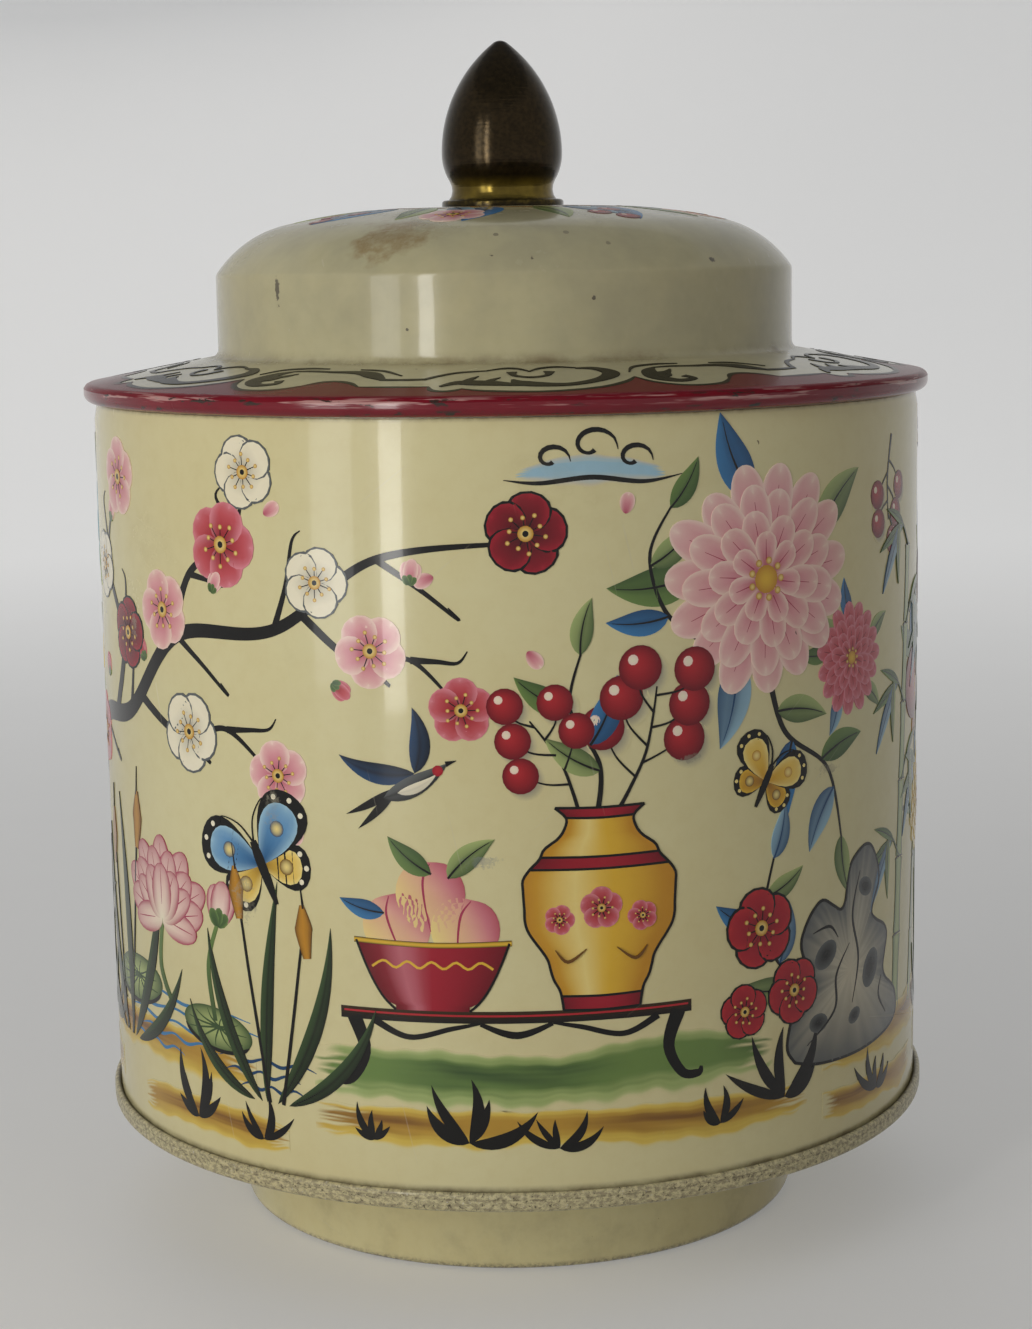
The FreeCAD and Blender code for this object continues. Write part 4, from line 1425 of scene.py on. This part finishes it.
for stroked in groundStrokes:
    draw("printGround", 0.0, groundStroke, *stroked)
for tuft in ((-74, 28.0, 9), (-46, 21.5, 9), (-34, 21.0, 6), (36, 25.0, 10), (26, 23.5, 6), (78, 27.0, 10),
             (104, 22.5, 9), (128, 25.0, 9), (166, 23.0, 7), (-104, 22.5, 9), (-128, 24.0, 8),
             (-162, 23.0, 9), (-6, 23.4, 9), (5, 22.6, 6), (56, 21.2, 7), (-18, 23.2, 5.5)):
    draw("printGround", 0.03, grassTuft, *tuft)
for reed in ((-32, 26.0, 21, 1), (-66, 28.0, 24, -1), (88, 26.0, 20, 1), (-86, 27.0, 18, 1),
             (122, 28.0, 20, -1), (-158, 28.0, 22, 1), (168, 25.0, 20, -1)):
    draw("printPond", 0.06, cattails, *reed)

draw("printLeaves", 0.0, spray, [(41, 31), (37, 40), (32.5, 47), (34.5, 57)], 0.8,
     [(0.12, -60, 8, "green"), (0.3, 55, 9, "leaf"), (0.45, -52, 8, "blue"), (0.68, 58, 8, "mid"),
      (0.82, -50, 7, "leaf"), (0.97, 0, 7, "blue")])
for spot in ((32.2, 47.5, 5.0), (37.6, 38.6, 4.2), (29.6, 37.2, 3.4)):
    draw("printBlooms", 0.06, plum, *spot, ("darkRed", "red", "scarlet"), 30 * spot[0], "black")
for x, y, turn in ((-31, 100, 30), (-9, 93, 200), (2, 84, 310), (-44, 71, 140), (14, 100, 80), (-2, 73, 20),
                   (-27, 62, 250)):
    draw("printBlooms", 0.02, petal, (x, y), turn, 2.6, 1.9, roseInks, 1.2, 0.15)
# front: a low table with a jar and a bowl of fruit
draw("printGarden", 0.0, lowTable, 0.0, 30.0, 44.0, 10.0)
draw("printGarden", 0.03, berrySprig, 8.0, 64.0, 24, 13.0, 5)
draw("printGarden", 0.03, berrySprig, 12.5, 64.0, -22, 16.0, 6)
draw("printGarden", 0.03, spray, [(10, 63), (10.5, 70), (7, 77), (8.5, 84)], 0.7,
     [(0.3, 50, 8, "leaf"), (0.45, -55, 9, "mid"), (0.65, 48, 8, "green"), (0.97, 5, 7, "leaf")])
draw("printGarden", 0.05, jar, 10.5, 40.0, 25.0, 19.0)
for fruit in ((-14.5, 50.5, 4.3, 14), (-6.0, 50.2, 4.2, -12), (-10.2, 54.6, 4.3, 0)):
    draw("printGarden", 0.02, peach, *fruit)
for leafAt in ((-10, 57, 140, 7, "green"), (-8, 56.5, 40, 7.5, "leaf"), (-16, 52, 165, 6, "mid")):
    draw("printGarden", 0.045, twoToneLeaf, *leafAt)
draw("printGarden", 0.05, bowl, -10.2, 40.0, 19.0, 8.5)

for rock in ((49.0, 29.0, 18.0), (-118.0, 26.0, 17.0), (146.0, 27.0, 14.0)):
    draw("printGarden", 0.03, gardenRock, *rock)
for cane in ((62.5, 30, 92, 5, 2.8, 6, 1), (70.5, 29, 78, 9, 2.2, 5, -1), (-106, 27, 86, -6, 2.4, 6, -1),
             (157, 27, 88, -5, 2.4, 6, 1), (-99, 27, 66, 5, 1.9, 4, 1)):
    draw("printGarden", 0.0, bamboo, *cane)

# ponds
for x in (-50.0, 112.0, -146.0):
    draw("printPond", 0.0, ripples, x - 4, 36.0, 40, 5)
    draw("printPond", 0.02, ripples, x + 16, 31.0, 18, 3, "navy")
    draw("printPond", 0.03, lotusPad, x - 12, 36.5, 8.0, 0.4, 4)
    draw("printPond", 0.03, lotusPad, x + 8, 34.0, 6.5, 0.42, -6)
    draw("printPond", 0.05, lotus, x - 3, 46.5, 11.0, ("white", "blush", "rose"),
         [(x - 1, 35), (x - 4, 40), (x - 3, 47)])
    draw("printPond", 0.05, flowerBud, x + 9, 47.5, 4.2, 78, ("white", "blush", "rose"))
    draw("printPond", 0.04, stroke, [(x + 8, 35), (x + 7, 42), (x + 9, 48)], (0.8, 0.6), "moss", "leaf")

# boughs: points and widths, with a twig at each bend
boughs = (
    ([(-86, 58), (-74, 70), (-60, 73), (-47, 84), (-30, 86), (-16, 95), (2, 97)],
     (3.2, 2.8, 2.3, 1.9, 1.5, 1.0, 0.4)),
    ([(-66, 72), (-62, 82), (-68, 92), (-63, 102)], (1.7, 1.3, 0.9, 0.3)),
    ([(-48, 83), (-44, 92), (-36, 97), (-34, 105)], (1.4, 1.0, 0.7, 0.25)),
    ([(-56, 75), (-46, 71), (-38, 73), (-30, 67)], (1.3, 0.9, 0.7, 0.25)),
    ([(-26, 88), (-18, 82), (-12, 83), (-6, 77)], (1.1, 0.8, 0.6, 0.2)),
    ([(116, 108), (100, 98), (88, 97), (76, 86), (72, 76)], (2.2, 1.7, 1.3, 0.9, 0.3)),
    ([(96, 98), (92, 90), (97, 82)], (1.1, 0.7, 0.3)),
    ([(-172, 46), (-160, 62), (-148, 66), (-138, 80), (-122, 84), (-112, 98)],
     (2.8, 2.4, 2.0, 1.5, 1.0, 0.4)),
    ([(-150, 66), (-152, 80), (-144, 92), (-148, 103)], (1.4, 1.0, 0.7, 0.3)),
    ([(-132, 82), (-126, 74), (-116, 74)], (1.0, 0.7, 0.25)),
    ([(174, 52), (160, 66), (148, 70), (138, 84), (124, 88)], (2.4, 1.9, 1.5, 1.0, 0.3)),
    ([(150, 69), (154, 82), (148, 92), (152, 104)], (1.2, 0.9, 0.6, 0.25)))
for points, widths in boughs:
    draw("printBoughs", 0.0, stroke, points, widths, "black")
    for k, (p, q) in enumerate(zip(points[1:], points[2:])):
        side = 1 if k % 2 else -1
        dx, dy = q[0] - p[0], q[1] - p[1]
        tip = (p[0] + dx * 0.5 - side * dy * 0.45, p[1] + dy * 0.5 + side * dx * 0.45)
        curl = (tip[0] + side * 1.2, tip[1] + 1.4)
        twig = [p, ((p[0] + tip[0]) / 2 + 0.4, (p[1] + tip[1]) / 2), tip, curl]
        draw("printBoughs", 0.0, stroke, twig, (0.9, 0.6, 0.4, 0.15), "black")

blossoms = (
    (-62, 103, 5.2, roseInks), (-70, 91, 4.4, snowInks), (-60, 83, 4.6, wineInks),
    (-34, 105, 4.4, snowInks), (-38, 96, 5.4, coralInks), (-30, 68, 4.4, roseInks),
    (-45, 72, 5.0, snowInks), (-6, 77, 4.0, coralInks), (-17, 84, 4.6, roseInks), (2, 98, 4.8, wineInks),
    (-50, 87, 5.2, roseInks), (-24, 92, 4.2, snowInks), (-76, 68, 5.0, coralInks),
    (-112, 99, 5.0, roseInks), (-148, 103, 4.6, snowInks), (-140, 82, 5.2, wineInks),
    (-117, 74, 4.4, roseInks), (-154, 78, 4.6, coralInks), (-126, 86, 4.6, snowInks),
    (152, 103, 4.8, roseInks), (124, 88, 4.6, snowInks), (138, 84, 5.0, coralInks),
    (156, 80, 4.6, snowInks), (162, 66, 4.8, wineInks))
for k, (x, y, r, inks) in enumerate(blossoms):
    rim = {wineInks: "black", snowInks: "slate"}.get(inks)
    draw("printBlossoms", 0.03, plum, x, y, r, inks, 18 + 31 * k, rim)
buds = (
    (-66, 97, 2.2, 70), (-55, 80, 2.2, 120), (-40, 90, 2.0, 60), (-22, 80, 2.0, -40), (-12, 92, 2.2, 80),
    (-70, 76, 2.2, 110), (-144, 90, 2.2, 60), (-132, 78, 2.0, -50), (-120, 92, 2.2, 90), (146, 92, 2.2, 110),
    (132, 90, 2.0, 80), (164, 58, 2.2, 30))
for k, (x, y, r, turn) in enumerate(buds):
    draw("printBlossoms", 0.03, flowerBud, x, y, r, turn, (roseInks, coralInks)[k % 2])

# large flowers with their leaves
flowers = ((33, 91, 13.5, roseInks, 8), (49, 79.5, 6.6, coralInks, 0), (93, 64, 11.0, coralInks, 20),
           (78, 56, 7.0, sunInks, 5), (-91, 96, 11.0, skyInks, 15), (-88, 78, 7.0, sunInks, 9),
           (132, 62, 11.5, roseInks, 30), (-160, 92, 8.5, sunInks, 40), (116, 72, 7.5, skyInks, 12))
for x, y, r, inks, turn in flowers:
    for k, kind in enumerate(("leaf", "mid", "green", "blue", "leaf")):
        lean = turn + 72 * k + 20
        spot = out(x, y, 0.75 * r, lean)
        draw("printLeaves", 0.0, twoToneLeaf, *spot, lean + 14, r * 0.85, kind, 0.14, 0.44)
    draw("printBlooms", 0.02, bloom, x, y, r, inks, turn)
draw("printLeaves", 0.0, spray, [(33, 82), (36, 72), (44, 66), (47, 56)], 0.9,
     [(0.25, 60, 9, "leaf"), (0.4, -60, 10, "mid"), (0.6, 55, 9, "green"), (0.75, -50, 9, "blue"),
      (0.97, 0, 8, "leaf")])
draw("printLeaves", 0.0, spray, [(24, 84), (19, 88), (17, 95), (20, 101)], 0.7,
     [(0.3, 55, 8, "mid"), (0.6, -55, 8, "leaf"), (0.97, 0, 7, "green")])
stemLeaves = [(0.2, 60, 9, "leaf"), (0.4, -60, 10, "mid"), (0.6, 55, 10, "green"), (0.8, -50, 9, "leaf")]
draw("printLeaves", 0.0, spray, [(93, 53), (90, 46), (92, 38), (88, 30)], 0.9, stemLeaves)
draw("printLeaves", 0.0, spray, [(132, 50), (128, 42), (131, 33)], 0.9,
     [(0.2, 60, 10, "leaf"), (0.45, -60, 10, "mid"), (0.7, 55, 10, "green")])
draw("printLeaves", 0.0, spray, [(-90, 70), (-86, 60), (-90, 48), (-86, 36)], 0.9, stemLeaves)

for x, y, r, turn in ((72, 73, 5.2, 10), (83, 86, 4.6, -14), (97, 80, 4.8, 6), (-122, 60, 5.0, 12),
                      (-131, 68, 4.4, -10), (146, 58, 4.8, 8)):
    for lean, kind in ((150, "green"), (25, "leaf"), (95, "mid")):
        draw("printFruit", 0.0, twoToneLeaf, x, y + r * 0.8, lean, r * 1.7, kind)
    draw("printFruit", 0.03, pomegranate, x, y, r, turn)
for x, y, turn, size in ((60, 107, 172, 11), (-100, 60, 10, 12), (172, 96, 150, 10)):
    draw("printFruit", 0.0, berrySprig, x, y, turn, size)

# winged things and clouds
for winged in ((butterfly, -33.0, 56.5, 10.5, 24, skyInks, sunInks), (moth, 33.0, 66.0, 7.0, -28),
               (butterfly, 106.0, 88.0, 8.5, -30, coralInks, sunInks),
               (butterfly, -132.0, 48.0, 9.0, 20, coralInks, skyInks),
               (moth, 168.0, 78.0, 7.0, 16), (swallow, -12.0, 68.5, 7.5, 12),
               (swallow, -77.0, 44.0, 6.5, 24), (swallow, 122.0, 101.0, 8.0, -8)):
    draw("printWings", 0.03, *winged)
for cloudAt in ((10, 106, 7.0, 1), (88, 106, 6.5, -1), (-130, 106, 7.0, 1), (140, 106, 6.0, 1)):
    draw("printGround", 0.0, cloudScroll, *cloudAt)
wallFilms = ["printGround", "printGarden", "printPond", "printBoughs", "printBlossoms", "printLeaves",
             "printBlooms", "printFruit", "printWings"]
layFilms(wallFilms, "tin", wallInk)
print("wall print laid")


# shoulder border: a red field with a scalloped edge, and pen scrolls on the cream
border = {"repeats": 6, "repeat": 56.5, "start": 17.4, "field": -0.9, "edgeWidth": 0.8, "edgeEnd": 0.3,
          "edgeInset": 0.3, "penWidth": 1.2, "scrollLift": 0.012}
scallops = (
    ((0, 8.3), (1.4, 5.4), (4.2, 3.3), (7.2, 2.9), (10.2, 3.6), (12.4, 5.6)),
    ((12.4, 5.6), (14.0, 7.4), (16.2, 7.9), (18.6, 7.0), (20.5, 5.1)),
    ((20.5, 5.1), (25.0, 5.0), (29.6, 5.1)),
    ((29.6, 5.1), (30.2, 3.4), (31.6, 2.7), (33.0, 3.1), (33.8, 4.0)),
    ((33.8, 4.0), (37.0, 2.7), (43.9, 2.0), (50.2, 3.4), (54.2, 5.8), (56.5, 8.3)))
scrolls = (  # points along the border and in from its edge, then widths
    ([(5.2, 12.6), (3.4, 10.6), (2.9, 7.6), (5.0, 5.4), (7.6, 6.1), (7.0, 7.7)],
     (0.3, 1.8, 2.2, 1.3, 0.8, 1.1)),
    ([(3.6, 9.2), (5.6, 9.8), (7.2, 11.4)], (1.5, 1.0, 0.2)),
    ([(3.4, 7.6), (5.0, 8.2), (5.8, 9.2)], (1.3, 0.8, 0.2)),
    ([(5.2, 12.6), (8.6, 12.9), (12.4, 12.6), (16.6, 12.4), (19.8, 11.0), (22.4, 8.6)],
     (0.3, 0.5, 0.6, 1.1, 2.0, 0.7)),
    ([(22.0, 8.6), (25.2, 8.5), (28.4, 8.7)], (0.6, 0.6, 0.6)),
    ([(16.3, 13.9), (20.6, 13.2), (24.4, 10.6)], (0.2, 0.45, 0.2)),
    ([(0.3, 10.6), (2.2, 13.2), (6.5, 14.3), (10.5, 14.2)], (0.2, 0.5, 0.5, 0.2)),
    ([(28.2, 8.7), (29.8, 10.4), (32.4, 12.1), (36.6, 12.9)], (0.6, 0.55, 0.5, 0.2)),
    ([(31.0, 5.0), (32.8, 6.7), (35.2, 6.6), (37.8, 6.2), (40.4, 5.4), (42.8, 5.0)],
     (0.4, 1.3, 1.9, 1.7, 0.9, 0.3)),
    ([(34.0, 6.8), (34.4, 8.4), (35.4, 10.0)], (1.6, 0.8, 0.15)),
    ([(36.8, 6.4), (37.2, 7.8), (38.4, 9.2)], (1.5, 0.8, 0.15)),
    ([(40.0, 8.0), (41.4, 6.0), (46.6, 5.0), (51.4, 7.2), (54.0, 10.4), (52.4, 13.0), (49.6, 13.4)],
     (0.3, 1.9, 1.1, 1.3, 2.1, 1.1, 0.3)),
    ([(40.0, 12.0), (40.4, 10.1), (42.6, 9.1), (44.8, 10.0), (45.4, 12.0)], (1.3, 0.6, 0.5, 0.6, 1.4)),
    ([(36.4, 12.9), (38.8, 14.0), (41.0, 13.7), (42.6, 12.2)], (0.2, 0.45, 0.45, 0.2)),
    ([(42.6, 12.2), (44.2, 13.7), (47.0, 14.3), (49.8, 13.6)], (0.2, 0.45, 0.45, 0.2)))


def edgeLine():
    line = []
    for lobe in scallops:
        line += smoothLine(list(lobe), 14)[:-1]
    return line + [scallops[-1][-1]]


def drawBorder(b):
    span = 2 * pi * borderRadius / b["repeats"]
    stretch = span / b["repeat"]
    edge = edgeLine()
    last = len(edge) - 1

    def place(x):  # along the repeat that is being drawn
        return b["start"] + k * span + x * stretch

    def spot(u, v):
        x, y = edge[round(v * last)]
        return place(x), b["field"] + (y - b["field"]) * u

    for k in range(b["repeats"]):
        usePen("borderField", onLid, 0.0)
        quilt(14, last, spot, lambda u, v: blendTone("rim", "darkRed", u ** 4))
        usePen("borderScrolls", onLid, b["scrollLift"])
        for lobe in scallops:
            widths = (b["edgeEnd"],) + (b["edgeWidth"],) * (len(lobe) - 2) + (b["edgeEnd"],)
            stroke([(place(x), y - b["edgeInset"]) for x, y in lobe], widths, "black")
        for points, widths in scrolls:
            stroke([(place(x), y) for x, y in points], [b["penWidth"] * w for w in widths], "black")


drawBorder(border)


crownSprays = {"count": 8, "turn": -81, "grow": 1.28}


def drawCrown(c):
    def at(far, off):  # on the dome, beside the spray that is being drawn
        return out(0, 0, c["grow"] * far, lean + off)

    for k in range(c["count"]):
        lean = 360 / c["count"] * k + c["turn"]
        usePen("crownRing", onCrown, 0.0)
        stroke([at(12.5, -24), at(14.2, -6), at(14.6, 12), at(13.2, 26)], (0.3, 0.6, 0.5, 0.2), "umber")
        for off, turn, length, kind in ((-14, -26, 12.5, "mid"), (4, 14, 11.0, "leaf"),
                                        (16, 40, 9.5, "blue")):
            twoToneLeaf(*at(14.2, off), lean + turn, length, kind, 0.12, 0.4)
        if k % 2:
            plum(*at(20.5, 22), 4.4, roseInks, lean + 90)
        else:
            for off, r in ((20, 20.0), (27, 18.2), (25, 22.4)):
                berry(*at(r, off), 1.6, shadow=False)


drawCrown(crownSprays)
layFilms(["borderField", "borderScrolls", "crownRing"], "lid", lidInk)
print("lid print laid")


# floor and soft light
studio = {"floor": tone("d6d3cf"), "grain": 0.97, "rough": 0.6, "sink": 0.02, "reach": 1.5, "rise": 1.6,
          "sweep": 0.45, "glowTint": (0.96, 0.98, 1.0), "glowFrom": 0.1, "glowTo": 0.9, "glow": 0.19,
          "farGlow": 0.36, "sky": 0.29, "skyTint": (0.92, 0.96, 1.0)}


def makeStudio(s):
    reach, low = s["reach"] / mm, -s["sink"]
    corners = [(0, low, 0), (reach, low, reach * s["sweep"]), (reach, s["rise"] / mm, 0)]
    floorPiece = spinSection("floor", bentPath(corners, step=200, closed=False, arcTurn=4), steps=64,
                             close=False)
    bpy.ops.object.mode_set(mode="EDIT")
    bpy.ops.mesh.select_all(action="SELECT")
    bpy.ops.mesh.normals_make_consistent(inside=True)
    bpy.ops.object.mode_set(mode="OBJECT")
    material, shader = newMaterial("floorPaper")
    grain = noiseOf(objectPoint(), 30.0, 3.0)
    feed(shader.inputs["Base Color"], mixTone(grain, s["floor"], tuple(c * s["grain"] for c in s["floor"])))
    shader.inputs["Roughness"].default_value = s["rough"]
    rays = addNode("ShaderNodeLightPath").outputs
    seen = most(rays["Is Camera Ray"], rays["Is Glossy Ray"])  # metal shows the same paper
    seen = most(seen, rays["Is Transmission Ray"])
    span, height, angle = radiusAndHeight(objectPoint())
    lifted = spread(span, s["glowFrom"], s["glowTo"], s["glow"], s["farGlow"])
    feed(shader.inputs["Emission Color"], s["glowTint"])
    feed(shader.inputs["Emission Strength"], times(seen, lifted))
    floorPiece.data.materials.append(material)
    world = bpy.data.worlds.new("studioSky")
    bpy.context.scene.world = world
    world.use_nodes = True
    sky = world.node_tree.nodes["Background"]
    feed(sky.inputs["Color"], s["skyTint"])
    feed(sky.inputs["Strength"], s["sky"])


def windowLight(name, bearing, rise, away, size, power, colour, fan=180):
    bpy.ops.object.light_add(type="AREA")
    lamp = bpy.context.object
    lamp.name = name
    lamp.data.shape = "RECTANGLE"
    lamp.data.size, lamp.data.size_y = size
    lamp.data.energy = power
    lamp.data.color = colour
    spot = Vector((-sin(radians(bearing)) * away, -cos(radians(bearing)) * away, rise))
    lamp.location = spot
    lamp.visible_camera = False
    lamp.data.spread = radians(fan)
    lamp.rotation_euler = (Vector((0, 0, min(rise, 0.2))) - spot).to_track_quat("-Z", "Y").to_euler()


def softLight(name, bearing, rise, away, size, power):  # without a reflection of its own
    windowLight(name, bearing, rise, away, size, power, (1.0, 0.99, 0.97))
    bpy.context.object.visible_glossy = False


makeStudio(studio)
windowLight("windowLight", 29, 0.19, 0.46, (0.046, 0.37), 0.21, (1.0, 0.99, 0.96), 110)
windowLight("windowLightLeft", 45, 0.2, 0.5, (0.1, 0.39), 0.14, (0.98, 0.99, 1.0), 110)
softLight("keyLight", 50, 0.36, 0.85, (0.5, 0.6), 1.15)
softLight("fillLight", -60, 0.6, 1.2, (0.7, 0.7), 0.9)
softLight("backLight", 165, 0.7, 1.2, (0.9, 0.7), 2.2)
print("studio made")
